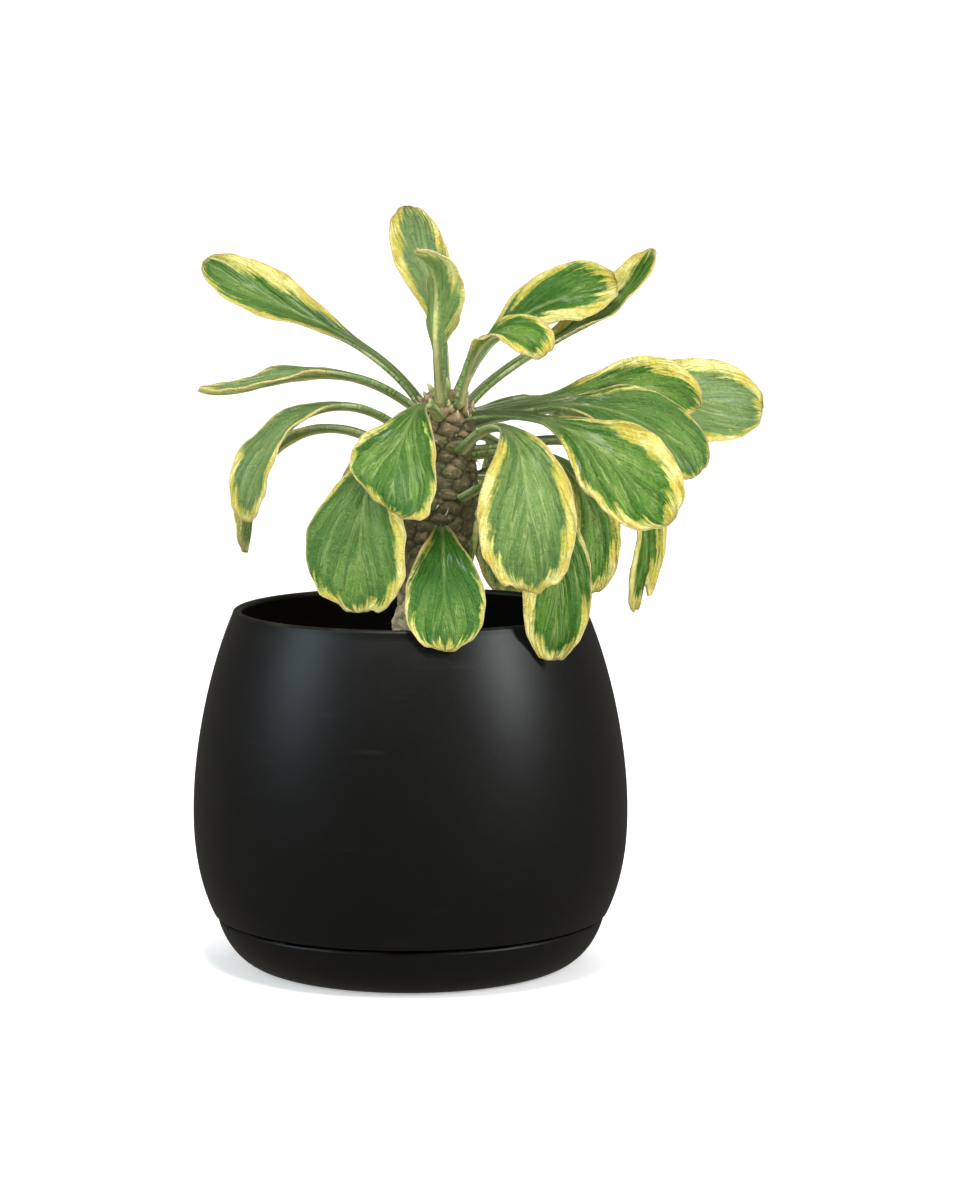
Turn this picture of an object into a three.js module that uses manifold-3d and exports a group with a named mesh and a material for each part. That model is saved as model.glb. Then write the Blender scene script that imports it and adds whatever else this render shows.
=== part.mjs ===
// A variegated potted euphorbia: a stout scarred stem with a head of long spoon-shaped leaves,
// planted in a round black pot that nests in its own saucer.
// Millimetres, +Z up. The origin is the centre of the saucer's flat underside, +X is the viewer's
// right when the plant is seen from its front, and the front faces -Y.
import * as THREE from "three";
import { mergeVertices } from "three/addons/utils/BufferGeometryUtils.js";
import Module from "manifold-3d";

const wasm = await Module();
wasm.setup();

// ---- Driving dimensions --------------------------------------------------------------------

const GAP = 0.3; // air between pieces that touch

const SAUCER = {
  footRadius: 71, // flat underside
  rimRadius: 89.2, // outside, at the lip
  height: 22.4,
  wall: 3.2,
  floor: 3,
};
const POT = {
  height: 164, // lip above the surface that the saucer stands on
  bellyRadius: 100.2,
  bellyHeight: 70,
  rimRadius: 81.6,
  overhang: 1.8, // how far the body stands out over the saucer's lip
  wall: 4.2,
  floor: 4.5,
  seam: 1.1, // the shadow gap between the saucer's lip and the body
  saucerClearance: 2.4, // between the nested skirt and the saucer's wall
  footRise: 3, // the floor's hollow above the foot ring
  footRing: 7, // width of the foot ring
  drainRadius: 7,
};
const SOIL = {
  headspace: 27, // from the lip down to the soil
  crown: 3, // how much higher the soil stands around the stem
};
const STEM = {
  base: new THREE.Vector2(9.8, 0), // where the stem stands, from the pot's axis
  lean: new THREE.Vector2(6, 0), // how far the top leans from the base
  above: 125, // from the soil to the growing tip
  buried: 34,
  flareRadius: 22, // at the soil
  waistRadius: 14.9,
  bulgeRadius: 17.4,
  crownRadius: 13.4, // where most leaves leave
  tipRadius: 8,
  rootRadius: 9,
};
const LEAF = {
  petioleWidth: 4.4,
  petioleThickness: 3.4,
  petioleEdge: 2, // thickness at the petiole's sides
  standOff: 1.5, // from the stem's skin to the petiole's cut end
  bladeThickness: 1.5,
  marginThickness: 0.8,
  petioleShare: 0.3, // of the leaf's length before the blade starts to widen
  flare: 1.7, // how slowly the petiole turns into blade; 1 is a quarter wave
  widestAt: 0.74, // of the leaf's length
  thinFrom: 0.2, // where the petiole starts to thin into blade
  thinBy: 0.6, // where it has become as thin as the blade
  bluntness: 2.3, // of the blade's round end; 2 is an ellipse
};
const ROUND_SIDES = 48;
const STEM_SIDES = 20;
const STEM_RINGS = 16;
const LIP_STEPS = 3;

// Each leaf: below = distance under the stem's tip where it leaves; turn = the way it heads, in
// degrees from +X, anticlockwise seen from above, so -90 is to the front; swing = how far its
// heading has turned at the tip; rise = the midrib's slope in degrees at the base, a third, two
// thirds and the tip; roll = turn about the midrib at the base and the tip; fold = how far each
// half of the blade lifts, in degrees; cup = curl of the margins as a share of the half width;
// widest, flare and blunt replace LEAF's own; clears = for a leaf that hangs outside the pot, the
// least air between its midrib and the pot's side, which its petiole's reach is made to keep;
// follows = a leaf that is held off the pot, and pushes this one out as far as itself.
const LEAVES = {
  leaf_upright_back: {
    below: 2, turn: 92, swing: 72, rise: [84, 72, 66, 72], roll: [0, -70],
    length: 92, width: 25, fold: 10, cup: 0.1,
  },
  leaf_upright_front: {
    below: 2.5, turn: -97, swing: -66, rise: [84, 85, 88, 8], roll: [0, 0],
    length: 73, width: 27, fold: 16, cup: 0.1, widest: 0.64,
  },
  leaf_right_upper: {
    below: 1.5, turn: 54, swing: -54, rise: [61, 38, 20, 10], roll: [30, 65],
    length: 102, width: 30, fold: 8, cup: 0.1,
  },
  leaf_right_curled: {
    below: 3, turn: -54, swing: 30, rise: [72, 56, 0, -60], roll: [0, 30],
    length: 70, width: 28, fold: 8, cup: 0.1,
  },
  leaf_right_tall: {
    below: 5, turn: 36, swing: -10, rise: [42, 25, 30, 68], roll: [10, 20],
    length: 126, width: 25, fold: 18, cup: 0.12,
  },
  leaf_right_high: {
    below: 8, turn: 9, swing: 0, rise: [16, 8, 2, -50], roll: [30, 60],
    length: 108, width: 30, fold: 6, cup: 0.08,
  },
  leaf_right_long: {
    below: 13, turn: 22, swing: 0, rise: [12, 4, -2, -14], roll: [40, 70],
    length: 148, width: 42, fold: 5, cup: 0.06,
  },
  leaf_right_middle: {
    below: 10, turn: -8, swing: 0, rise: [14, 2, -26, -66], roll: [30, 50],
    length: 113, width: 36, fold: 6, cup: 0.08,
  },
  leaf_right_broad: {
    below: 9, turn: -30, swing: 0, rise: [10, -14, -38, -44], roll: [30, 55],
    length: 116, width: 42, fold: 6, cup: 0.08,
  },
  leaf_front_right: {
    below: 23, turn: -56, swing: -32, rise: [34, -12, -76, -88], roll: [0, 24],
    length: 128, width: 43, fold: 8, cup: 0.1, follows: "leaf_front_right_low",
  },
  leaf_front_right_low: {
    below: 44, turn: -53, swing: 0, rise: [24, -18, -84, -88], roll: [10, 42],
    length: 132, width: 30, fold: 8, cup: 0.08, clears: 5.4,
  },
  leaf_right_hanging: {
    below: 26, turn: -20, swing: 0, rise: [10, -24, -82, -90], roll: [0, 50],
    length: 106, width: 28, fold: 10, cup: 0.1,
  },
  leaf_right_hanging_outer: {
    below: 24, turn: -1, swing: 0, rise: [4, -14, -80, -92], roll: [0, 60],
    length: 138, width: 21, fold: 16, cup: 0.1,
  },
  leaf_front_low: {
    below: 72, turn: -87, swing: 0, rise: [30, 6, -60, -64], roll: [0, 0],
    length: 110, width: 35, fold: 6, cup: 0.08, widest: 0.82, flare: 2.6, clears: 2.4,
  },
  leaf_front_left: {
    below: 8, turn: -100, swing: -20, rise: [24, -10, -58, -74], roll: [0, 0],
    length: 98, width: 44, fold: 4, cup: 0.05, widest: 0.84, blunt: 3,
  },
  leaf_front_left_low: {
    below: 22, turn: -118.5, swing: 0, rise: [25, -30, -82, -88], roll: [0, 0],
    length: 116, width: 50, fold: 6, cup: 0.06,
  },
  leaf_left_arching: {
    below: 18, turn: -160, swing: 0, rise: [46, -2, -54, -84], roll: [0, -20],
    length: 112, width: 30, fold: 10, cup: 0.1,
  },
  leaf_left_arching_back: {
    below: 28, turn: 170, swing: 0, rise: [32, -4, -64, -76], roll: [0, 0],
    length: 117, width: 26, fold: 16, cup: 0.1,
  },
  leaf_left_level: {
    below: 5, turn: 184, swing: 0, rise: [36, 9, -15, 22], roll: [0, -14],
    length: 103, width: 20, fold: 14, cup: 0.12,
  },
  leaf_left_upper: {
    below: 3, turn: 162, swing: 0, rise: [54, 29, 24, 34], roll: [-20, -55],
    length: 124, width: 27, fold: 10, cup: 0.1,
  },
  leaf_back_left: {
    below: 22, turn: 112, swing: 0, rise: [20, -20, -80, -88], roll: [0, 0],
    length: 130, width: 38, fold: 6, cup: 0.06,
  },
  leaf_back_left_inner: {
    below: 14, turn: 140, swing: 0, rise: [20, -50, -84, -88], roll: [0, 0],
    length: 78, width: 22, fold: 6, cup: 0.08,
  },
  leaf_back_middle: {
    below: 34, turn: 88, swing: 0, rise: [24, -20, -80, -88], roll: [0, 0],
    length: 118, width: 28, fold: 8, cup: 0.08,
  },
  leaf_back_right: {
    below: 26, turn: 68, swing: 0, rise: [20, -24, -82, -88], roll: [0, 0],
    length: 132, width: 40, fold: 6, cup: 0.08,
  },
  leaf_back_right_high: {
    below: 10, turn: 44, swing: 0, rise: [14, 0, -40, -60], roll: [0, 0],
    length: 106, width: 36, fold: 6, cup: 0.08,
  },
  leaf_back_right_low: {
    below: 38, turn: 38, swing: 0, rise: [16, -20, -80, -88], roll: [0, 0],
    length: 112, width: 34, fold: 6, cup: 0.08,
  },
};

// ---- Helpers --------------------------------------------------------------------------------

const DEG = Math.PI / 180;
const mix = THREE.MathUtils.lerp;
const material = (color, roughness) =>
  new THREE.MeshStandardMaterial({ color, roughness, metalness: 0 });
const POT_BLACK = material(0x23231f, 0.5);
const SOIL_BROWN = material(0x3a2c20, 0.95);
const STEM_BARK = material(0x8c7f63, 0.85);
const LEAF_GREEN = material(0x5f9450, 0.5);

/** A mesh named as its node. */
function piece(name, geometry, look) {
  const mesh = new THREE.Mesh(geometry, look);
  mesh.name = name;
  return mesh;
}

/** Points of a curve, as an array of Vector2. */
const along = (curve, steps) => curve.getPoints(steps);

/** A turned solid about Z from a closed profile of (radius, height) points. */
function turned(profile) {
  const closed = [...profile, profile[0].clone()];
  return new THREE.LatheGeometry(closed, ROUND_SIDES).rotateX(Math.PI / 2);
}

/** A closed skin over rings of points, with flat caps on the first and last ring. */
function loft(rings) {
  const count = rings[0].length;
  const middle = (ring) =>
    ring.reduce((sum, p) => sum.add(p), new THREE.Vector3()).divideScalar(count);
  const points = [...rings.flat(), middle(rings[0]), middle(rings.at(-1))];
  const first = rings.length * count;
  const last = first + 1;
  const index = [];
  for (let i = 0; i < count; i++) {
    const next = (i + 1) % count;
    index.push(first, next, i);
    const top = (rings.length - 1) * count;
    index.push(last, top + i, top + next);
    for (let row = 0; row < rings.length - 1; row++) {
      const a = row * count + i;
      const b = row * count + next;
      index.push(a, b, b + count, a, b + count, a + count);
    }
  }
  return new THREE.BufferGeometry().setFromPoints(points).setIndex(index);
}

/** The manifold-3d solid of a closed geometry. */
function solidOf(geometry) {
  const bare = new THREE.BufferGeometry();
  bare.setAttribute("position", geometry.getAttribute("position"));
  bare.setIndex(geometry.index);
  const merged = mergeVertices(bare, 1e-3);
  return new wasm.Manifold(
    new wasm.Mesh({
      numProp: 3,
      vertProperties: new Float32Array(merged.attributes.position.array),
      triVerts: new Uint32Array(merged.index.array),
    }),
  );
}

/** The geometry of a manifold-3d solid. */
function geometryOf(solid) {
  const mesh = solid.getMesh();
  const geometry = new THREE.BufferGeometry();
  geometry.setAttribute("position", new THREE.BufferAttribute(mesh.vertProperties, 3));
  geometry.setIndex(new THREE.BufferAttribute(mesh.triVerts, 1));
  return geometry;
}

// ---- Saucer and pot -------------------------------------------------------------------------

const v2 = (x, y) => new THREE.Vector2(x, y);

/** A half-round lip, from the outside of a wall over to its inside. */
function lip(outerRadius, height, wall) {
  const r = wall / 2;
  return along(new THREE.EllipseCurve(outerRadius - r, height - r, r, r, 0, Math.PI), LIP_STEPS);
}

/** The saucer's outside, from the edge of its flat foot up to its lip. */
const saucerSide = new THREE.CubicBezierCurve(
  v2(SAUCER.footRadius, 0),
  v2(mix(SAUCER.footRadius, SAUCER.rimRadius, 0.5), SAUCER.height * 0.1),
  v2(mix(SAUCER.footRadius, SAUCER.rimRadius, 0.85), SAUCER.height * 0.5),
  v2(SAUCER.rimRadius, SAUCER.height - SAUCER.wall / 2),
);

function saucer() {
  const outside = along(saucerSide, 5).slice(0, -1);
  const inside = outside.slice(1).map((p) => v2(p.x - SAUCER.wall, Math.max(p.y, SAUCER.floor)));
  const upright = inside.filter((p) => p.y > SAUCER.floor).reverse();
  return turned([
    v2(0, 0),
    ...outside,
    ...lip(SAUCER.rimRadius, SAUCER.height, SAUCER.wall),
    ...upright,
    v2(SAUCER.footRadius - SAUCER.wall, SAUCER.floor),
    v2(0, SAUCER.floor),
  ]);
}

const shoulderHeight = SAUCER.height + POT.seam;
const potFoot = SAUCER.floor + GAP;
const floorUnder = potFoot + POT.footRise;
const floorTop = floorUnder + POT.floor;
const skirtTop = SAUCER.rimRadius - SAUCER.wall - POT.saucerClearance;
const skirtFoot = SAUCER.footRadius - SAUCER.wall - POT.saucerClearance;
const shoulderRadius = SAUCER.rimRadius + POT.overhang;
const belly = v2(POT.bellyRadius, POT.bellyHeight);

/** The pot's side from the shoulder to the belly, and from the belly to the lip. */
const lowerSide = new THREE.CubicBezierCurve(
  v2(shoulderRadius, shoulderHeight),
  v2(mix(shoulderRadius, POT.bellyRadius, 0.72), mix(shoulderHeight, POT.bellyHeight, 0.3)),
  v2(POT.bellyRadius, mix(shoulderHeight, POT.bellyHeight, 0.62)),
  belly,
);
const upperSide = new THREE.CubicBezierCurve(
  belly,
  v2(POT.bellyRadius, mix(POT.bellyHeight, POT.height, 0.36)),
  v2(mix(POT.rimRadius, POT.bellyRadius, 0.5), mix(POT.bellyHeight, POT.height, 0.75)),
  v2(POT.rimRadius, POT.height - POT.wall / 2),
);
const bodySide = [...along(lowerSide, 3), ...along(upperSide, 7).slice(1)];

/** The pot's outside radius at a height above the shoulder. */
function potSide(height) {
  const at = bodySide.findIndex((p) => p.y >= height);
  if (at < 1) return at < 0 ? POT.rimRadius : shoulderRadius;
  const [low, high] = [bodySide[at - 1], bodySide[at]];
  return mix(low.x, high.x, (height - low.y) / (high.y - low.y));
}

/** The pot's inside, from under the lip over the ledge above the saucer to the floor's edge. */
function insideWall(clearance = 0) {
  const inset = POT.wall + clearance;
  const ledge = shoulderHeight + inset;
  const body = bodySide.slice(0, -1).filter((p) => p.y > ledge);
  return [
    ...body.reverse().map((p) => v2(p.x - inset, p.y)),
    v2(potSide(ledge) - inset, ledge),
    v2(skirtTop - inset, ledge),
    v2(skirtFoot - inset, floorTop + clearance),
  ];
}

function pot() {
  return turned([
    v2(POT.drainRadius, floorUnder),
    v2(skirtFoot - POT.footRing, floorUnder),
    v2(skirtFoot - POT.footRing, potFoot),
    v2(skirtFoot, potFoot),
    v2(skirtTop, shoulderHeight),
    ...bodySide.slice(0, -1),
    ...lip(POT.rimRadius, POT.height, POT.wall),
    ...insideWall(),
    v2(POT.drainRadius, floorTop),
  ]);
}

// ---- Stem and soil --------------------------------------------------------------------------

const soilTop = POT.height - SOIL.headspace;

/** The stem's outline as (radius, height above the soil), from the root end to the tip. */
const stemOutline = new THREE.SplineCurve([
  v2(STEM.rootRadius, -STEM.buried),
  v2(STEM.flareRadius * 0.9, -STEM.buried * 0.35),
  v2(STEM.flareRadius, 0),
  v2(mix(STEM.flareRadius, STEM.waistRadius, 0.7), STEM.above * 0.26),
  v2(STEM.waistRadius, STEM.above * 0.43),
  v2(STEM.bulgeRadius, STEM.above * 0.63),
  v2(mix(STEM.bulgeRadius, STEM.crownRadius, 0.5), STEM.above * 0.8),
  v2(STEM.crownRadius, STEM.above * 0.93),
  v2(STEM.tipRadius, STEM.above),
]);
const stemStages = stemOutline.getPoints(STEM_RINGS);

/** The middle of the stem at a height above the soil. */
function stemCentre(height) {
  const share = Math.max(0, height / STEM.above);
  const x = STEM.base.x + STEM.lean.x * share;
  const y = STEM.base.y + STEM.lean.y * share;
  return new THREE.Vector3(x, y, soilTop + height);
}

/** The stem's radius at a height above the soil. */
function stemRadius(height) {
  const at = stemStages.findIndex((p) => p.y >= height);
  const [low, high] = [stemStages[at - 1], stemStages[at]];
  return mix(low.x, high.x, (height - low.y) / (high.y - low.y));
}

/** The stem's skin, or one that stands off it by a clearance. */
function stem(clearance = 0) {
  const rings = stemStages.map((stage) => {
    const centre = stemCentre(stage.y);
    const reach = stage.x + clearance;
    return Array.from({ length: STEM_SIDES }, (_, i) => {
      const angle = (2 * Math.PI * i) / STEM_SIDES;
      return new THREE.Vector3(Math.cos(angle) * reach, Math.sin(angle) * reach, 0).add(centre);
    });
  });
  for (const point of rings[0]) point.z -= clearance;
  return loft(rings);
}

/** Soil up to its level at the pot's wall, a little higher around the stem that it holds. */
function soil() {
  const wall = insideWall(GAP);
  const buried = wall.filter((p) => p.y < soilTop);
  const above = wall[wall.length - buried.length - 1];
  const share = (above.y - soilTop) / (above.y - buried[0].y);
  const edge = above.clone().lerp(buried[0], share);
  const mound = soilTop + SOIL.crown;
  const filling = turned([
    v2(0, buried.at(-1).y),
    ...buried.reverse(),
    edge,
    v2(mix(edge.x, STEM.flareRadius, 0.5), mix(soilTop, mound, 0.5)),
    v2(STEM.flareRadius + STEM.base.length(), mound),
    v2(0, mound),
  ]);
  return geometryOf(solidOf(filling).subtract(solidOf(stem(GAP))));
}

// ---- Leaves ---------------------------------------------------------------------------------

/** A smooth value through four equally spaced ones, at a share from 0 to 1. */
function through([a, b, c, d], share) {
  const x = share * 3;
  const wa = ((x - 1) * (x - 2) * (x - 3)) / -6;
  const wb = (x * (x - 2) * (x - 3)) / 2;
  const wc = (x * (x - 1) * (x - 3)) / -2;
  const wd = (x * (x - 1) * (x - 2)) / 6;
  return a * wa + b * wb + c * wc + d * wd;
}

/** Half the leaf's width at a share of its length: a slim petiole, then a spoon-shaped blade. */
function halfWidth(leaf, share) {
  const petiole = LEAF.petioleWidth / 2;
  const half = leaf.width / 2;
  const { widest = LEAF.widestAt, flare = LEAF.flare, blunt = LEAF.bluntness } = leaf;
  if (share < LEAF.petioleShare) return petiole;
  if (share < widest) {
    const t = (share - LEAF.petioleShare) / (widest - LEAF.petioleShare);
    return mix(petiole, half, Math.sin((Math.PI / 2) * t) ** flare);
  }
  const t = (share - widest) / (1 - widest);
  return half * Math.sqrt(1 - t ** blunt);
}

/** The leaf's shares of length where its rings stand, closer together towards the tip. */
const STATIONS = [0, 0.12, 0.24, 0.35, 0.45, 0.54, 0.63, 0.72, 0.8, 0.87, 0.93, 0.975, 0.997];
const WALK_STEPS = 120;

/** The midrib's points and directions at the stations, its petiole's reach times a factor. */
function walk(leaf, reach) {
  const height = STEM.above - leaf.below;
  const outward = new THREE.Vector3(Math.cos(leaf.turn * DEG), Math.sin(leaf.turn * DEG), 0);
  const place = stemCentre(height).addScaledVector(outward, stemRadius(height) + LEAF.standOff);
  const found = [];
  for (let i = 0; i <= WALK_STEPS; i++) {
    const share = i / WALK_STEPS;
    const heading = (leaf.turn + leaf.swing * share) * DEG;
    const slope = through(leaf.rise, share) * DEG;
    const direction = new THREE.Vector3(
      Math.cos(slope) * Math.cos(heading),
      Math.cos(slope) * Math.sin(heading),
      Math.sin(slope),
    );
    const next = STATIONS[found.length];
    if (next <= share) found.push({ place: place.clone(), direction, heading, share: next });
    const out = share < LEAF.petioleShare ? reach : 1;
    const step = direction.clone().multiply(new THREE.Vector3(out, out, 1));
    place.addScaledVector(step, leaf.length / WALK_STEPS);
  }
  return found;
}

/** How much further out a leaf reaches than its own shape does, to hang clear of the pot. */
function pushedOut(leaf) {
  if (leaf.follows) return pushedOut(LEAVES[leaf.follows]);
  if (leaf.clears === undefined) return 0;
  const outside = walk(leaf, 1).filter(({ place }) => place.z < POT.height);
  const lacks = ({ place }) => potSide(place.z) + leaf.clears - Math.hypot(place.x, place.y);
  return Math.max(...outside.map(lacks));
}

/** The midrib of a leaf, its petiole reaching as far as it has to. */
function midrib(leaf) {
  const plain = walk(leaf, 1);
  const start = plain[0].place;
  const blade = plain.find(({ share }) => share >= LEAF.petioleShare).place;
  const petiole = Math.hypot(blade.x - start.x, blade.y - start.y);
  return walk(leaf, 1 + pushedOut(leaf) / petiole);
}

const LATERALS = [-1, -0.55, 0, 0.55, 1]; // across the upper face, as shares of the half width
const UNDERSIDE = [1, 0, -1]; // across the lower face, back again

function leafBlade(leaf) {
  const fold = leaf.fold * DEG;
  const rings = midrib(leaf).map(({ place, direction, heading, share }) => {
    const roll = mix(leaf.roll[0], leaf.roll[1], share) * DEG;
    const side = new THREE.Vector3(-Math.sin(heading), Math.cos(heading), 0);
    side.applyAxisAngle(direction, roll);
    const up = direction.clone().cross(side);
    const half = halfWidth(leaf, share);
    const spread = THREE.MathUtils.smoothstep(share, LEAF.thinFrom, LEAF.thinBy);
    const middle = mix(LEAF.petioleThickness, LEAF.bladeThickness, spread);
    const margin = mix(LEAF.petioleEdge, LEAF.marginThickness, spread);
    const at = (t, depth) => {
      const lift = half * (Math.abs(t) * Math.sin(fold) + leaf.cup * t * t);
      return place
        .clone()
        .addScaledVector(side, half * t * Math.cos(fold))
        .addScaledVector(up, lift - depth * mix(middle, margin, Math.abs(t)));
    };
    const ring = [...LATERALS.map((t) => at(t, 0)), ...UNDERSIDE.map((t) => at(t, 1))];
    return ring.reverse();
  });
  return loft(rings);
}

// ---- Assembly -------------------------------------------------------------------------------

const plant = new THREE.Group();
plant.add(piece("saucer", saucer(), POT_BLACK));
plant.add(piece("pot", pot(), POT_BLACK));
plant.add(piece("soil", soil(), SOIL_BROWN));
plant.add(piece("stem", stem(), STEM_BARK));
for (const [name, leaf] of Object.entries(LEAVES)) {
  plant.add(piece(name, leafBlade(leaf), LEAF_GREEN));
}

export default plant;
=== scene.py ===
"""Looks of a potted variegated euphorbia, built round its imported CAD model.

Metres, +Z up, the origin at the centre of the saucer's underside, the front facing -Y. The
leaves, stem, soil, pot and saucer are finer meshes of the same sizes as their CAD nodes, which
they replace. The buds, bracts, spines and loose grains have no CAD node.
"""

import logging
import math
from dataclasses import dataclass, field
from enum import Enum
from typing import Any, Iterable, Mapping, Sequence, Union

import bpy
import numpy as np
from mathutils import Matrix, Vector


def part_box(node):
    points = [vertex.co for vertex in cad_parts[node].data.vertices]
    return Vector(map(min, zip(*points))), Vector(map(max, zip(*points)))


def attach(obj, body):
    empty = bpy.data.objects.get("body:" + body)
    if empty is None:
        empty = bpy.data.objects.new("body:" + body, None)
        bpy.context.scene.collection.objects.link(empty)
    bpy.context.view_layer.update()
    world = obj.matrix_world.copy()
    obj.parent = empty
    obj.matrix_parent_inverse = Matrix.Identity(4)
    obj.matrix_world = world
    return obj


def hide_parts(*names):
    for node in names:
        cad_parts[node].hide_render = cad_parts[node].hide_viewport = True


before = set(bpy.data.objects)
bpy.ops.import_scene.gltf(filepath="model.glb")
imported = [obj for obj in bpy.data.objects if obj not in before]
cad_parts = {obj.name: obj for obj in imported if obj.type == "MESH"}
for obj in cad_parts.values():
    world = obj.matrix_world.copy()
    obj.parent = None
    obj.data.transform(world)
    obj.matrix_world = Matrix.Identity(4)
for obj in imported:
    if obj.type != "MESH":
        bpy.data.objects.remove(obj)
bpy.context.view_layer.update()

LOG = logging.getLogger("potted_euphorbia")
MM = 0.001
BODY = "root"
GOLDEN_ANGLE = 137.508  # degrees from one knob, bud or scale to the next
VEIN_SLANT = 0.62  # how far a vein runs on towards the tip before the margin, as a share


# ---- Shader maths ---------------------------------------------------------------------------


class Nodes:
    """The node tree of one material, and the one way that nodes are added to it."""

    def __init__(self, name: str) -> None:
        """Makes an empty material.

        Args:
            name: The material's name.
        """
        self.material = bpy.data.materials.new(name)
        self.material.use_nodes = True
        self.tree = self.material.node_tree
        self.tree.nodes.clear()

    def node(
        self,
        kind: str,
        settings: Mapping[str, Any] = {},
        inputs: Mapping[Union[int, str], Any] = {},
        out: Union[int, str] = 0,
    ) -> "Wire":
        """Adds a node, sets it and feeds it.

        Args:
            kind: The node's type, without the words ShaderNode.
            settings: The node's own settings, set before its sockets; "stops" fills a ramp.
            inputs: Wires or constants, by socket name or number.
            out: The socket that is handed back, by name or number.

        Returns:
            The node's output socket.
        """
        made = self.tree.nodes.new("ShaderNode" + kind)
        for key, value in settings.items():
            if key == "stops":
                self._fill_ramp(made.color_ramp, value)
            else:
                setattr(made, key, value)
        for key, value in inputs.items():
            if isinstance(value, Wire):
                self.tree.links.new(value.socket, made.inputs[key])
            else:
                made.inputs[key].default_value = value
        return Wire(self, made.outputs[out]) if len(made.outputs) else Wire(self, None)

    @staticmethod
    def _fill_ramp(ramp: Any, stops: Sequence[tuple[float, Sequence[float]]]) -> None:
        """Gives a colour ramp its stops.

        Args:
            ramp: The ramp.
            stops: Pairs of a place from 0 to 1 and a colour.
        """
        while len(ramp.elements) < len(stops):
            ramp.elements.new(1.0)
        for element, (place, colour) in zip(ramp.elements, stops):
            element.position = place
            element.color = colour

    def mix(self, factor: Any, a: Any, b: Any, mode: str = "MIX") -> "Wire":
        """Blends two colours.

        Args:
            factor: How much of b, from 0 to 1.
            a: The first colour.
            b: The second colour.
            mode: The blend mode.

        Returns:
            The blended colour.
        """
        settings = {"data_type": "RGBA", "blend_type": mode}
        return self.node("Mix", settings, {0: factor, 6: a, 7: b}, 2)

    def ramp01(self, value: Any, low: float, high: float) -> "Wire":
        """A smooth step of a value from 0 at low to 1 at high; low may be the greater."""
        settings = {"interpolation_type": "SMOOTHSTEP"}
        return self.node("MapRange", settings, {0: value, 1: low, 2: high})

    def point(self, x: Any, y: Any, z: Any) -> "Wire":
        """A vector from its three parts."""
        return self.node("CombineXYZ", {}, {0: x, 1: y, 2: z})

    def parts(self, vector: "Wire") -> tuple["Wire", "Wire", "Wire"]:
        """The three parts of a vector."""
        made = self.node("SeparateXYZ", {}, {0: vector}).socket.node
        return tuple(Wire(self, socket) for socket in made.outputs)

    def attribute(self, name: str) -> "Wire":
        """A vector that the mesh carries at its points."""
        return self.node("Attribute", {"attribute_name": name}, {}, "Vector")

    def place(self) -> "Wire":
        """The point's place in the object's own frame, in metres."""
        return self.node("TexCoord", {}, {}, "Object")

    def noise(self, at: "Wire", scale: float, detail: float = 2.0, rough: float = 0.5) -> "Wire":
        """Soft noise, mostly from 0.3 to 0.7.

        Args:
            at: Where it is read.
            scale: How fine it is.
            detail: How many octaves.
            rough: How strong the fine octaves are.

        Returns:
            The noise value.
        """
        inputs = {"Vector": at, "Scale": scale, "Detail": detail, "Roughness": rough}
        return self.node("TexNoise", {}, inputs)

    def cells(self, at: "Wire", scale: float, feature: str = "F1") -> "Wire":
        """The distance to the nearest cell centre, or to the cell's edge."""
        return self.node("TexVoronoi", {"feature": feature}, {"Vector": at, "Scale": scale})

    def bump(self, height: "Wire", depth: float, strength: float = 1.0) -> "Wire":
        """A normal from a height.

        Args:
            height: The height, from 0 to 1.
            depth: What a height of 1 stands for, in metres.
            strength: How much of it shows.

        Returns:
            The bent normal.
        """
        inputs = {"Strength": strength, "Distance": depth, "Height": height}
        return self.node("Bump", {}, inputs)

    def surface(self, colour: Any, roughness: Any, normal: Any, **constants: float) -> Any:
        """Closes the material with its shader.

        Args:
            colour: The base colour.
            roughness: The roughness.
            normal: The normal, or None.
            constants: Other sockets of the shader, with spaces written as underscores.

        Returns:
            The finished material.
        """
        inputs = {"Base Color": colour, "Roughness": roughness}
        inputs.update({key.replace("_", " "): value for key, value in constants.items()})
        if normal is not None:
            inputs["Normal"] = normal
        shader = self.node("BsdfPrincipled", {}, inputs)
        self.node("OutputMaterial", {}, {0: shader})
        return self.material


Number = Union["Wire", float]


class Wire:
    """A value that varies over a surface: one output socket, with Python's arithmetic."""

    def __init__(self, nodes: Nodes, socket: Any) -> None:
        """Wraps a socket.

        Args:
            nodes: The tree that it belongs to.
            socket: The output socket.
        """
        self.nodes = nodes
        self.socket = socket

    def _math(self, operation: str, a: Number, b: Number = 0.0) -> "Wire":
        """Adds the Math node of one operation."""
        return self.nodes.node("Math", {"operation": operation}, {0: a, 1: b})

    def __add__(self, other: Number) -> "Wire":
        """self + other."""
        return self._math("ADD", self, other)

    def __radd__(self, other: Number) -> "Wire":
        """other + self."""
        return self._math("ADD", other, self)

    def __sub__(self, other: Number) -> "Wire":
        """self - other."""
        return self._math("SUBTRACT", self, other)

    def __rsub__(self, other: Number) -> "Wire":
        """other - self."""
        return self._math("SUBTRACT", other, self)

    def __mul__(self, other: Number) -> "Wire":
        """self * other."""
        return self._math("MULTIPLY", self, other)

    def __rmul__(self, other: Number) -> "Wire":
        """other * self."""
        return self._math("MULTIPLY", other, self)

    def __abs__(self) -> "Wire":
        """The value without its sign."""
        return self._math("ABSOLUTE", self)


# ---- Colours --------------------------------------------------------------------------------

Colour = tuple[float, float, float, float]


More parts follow.
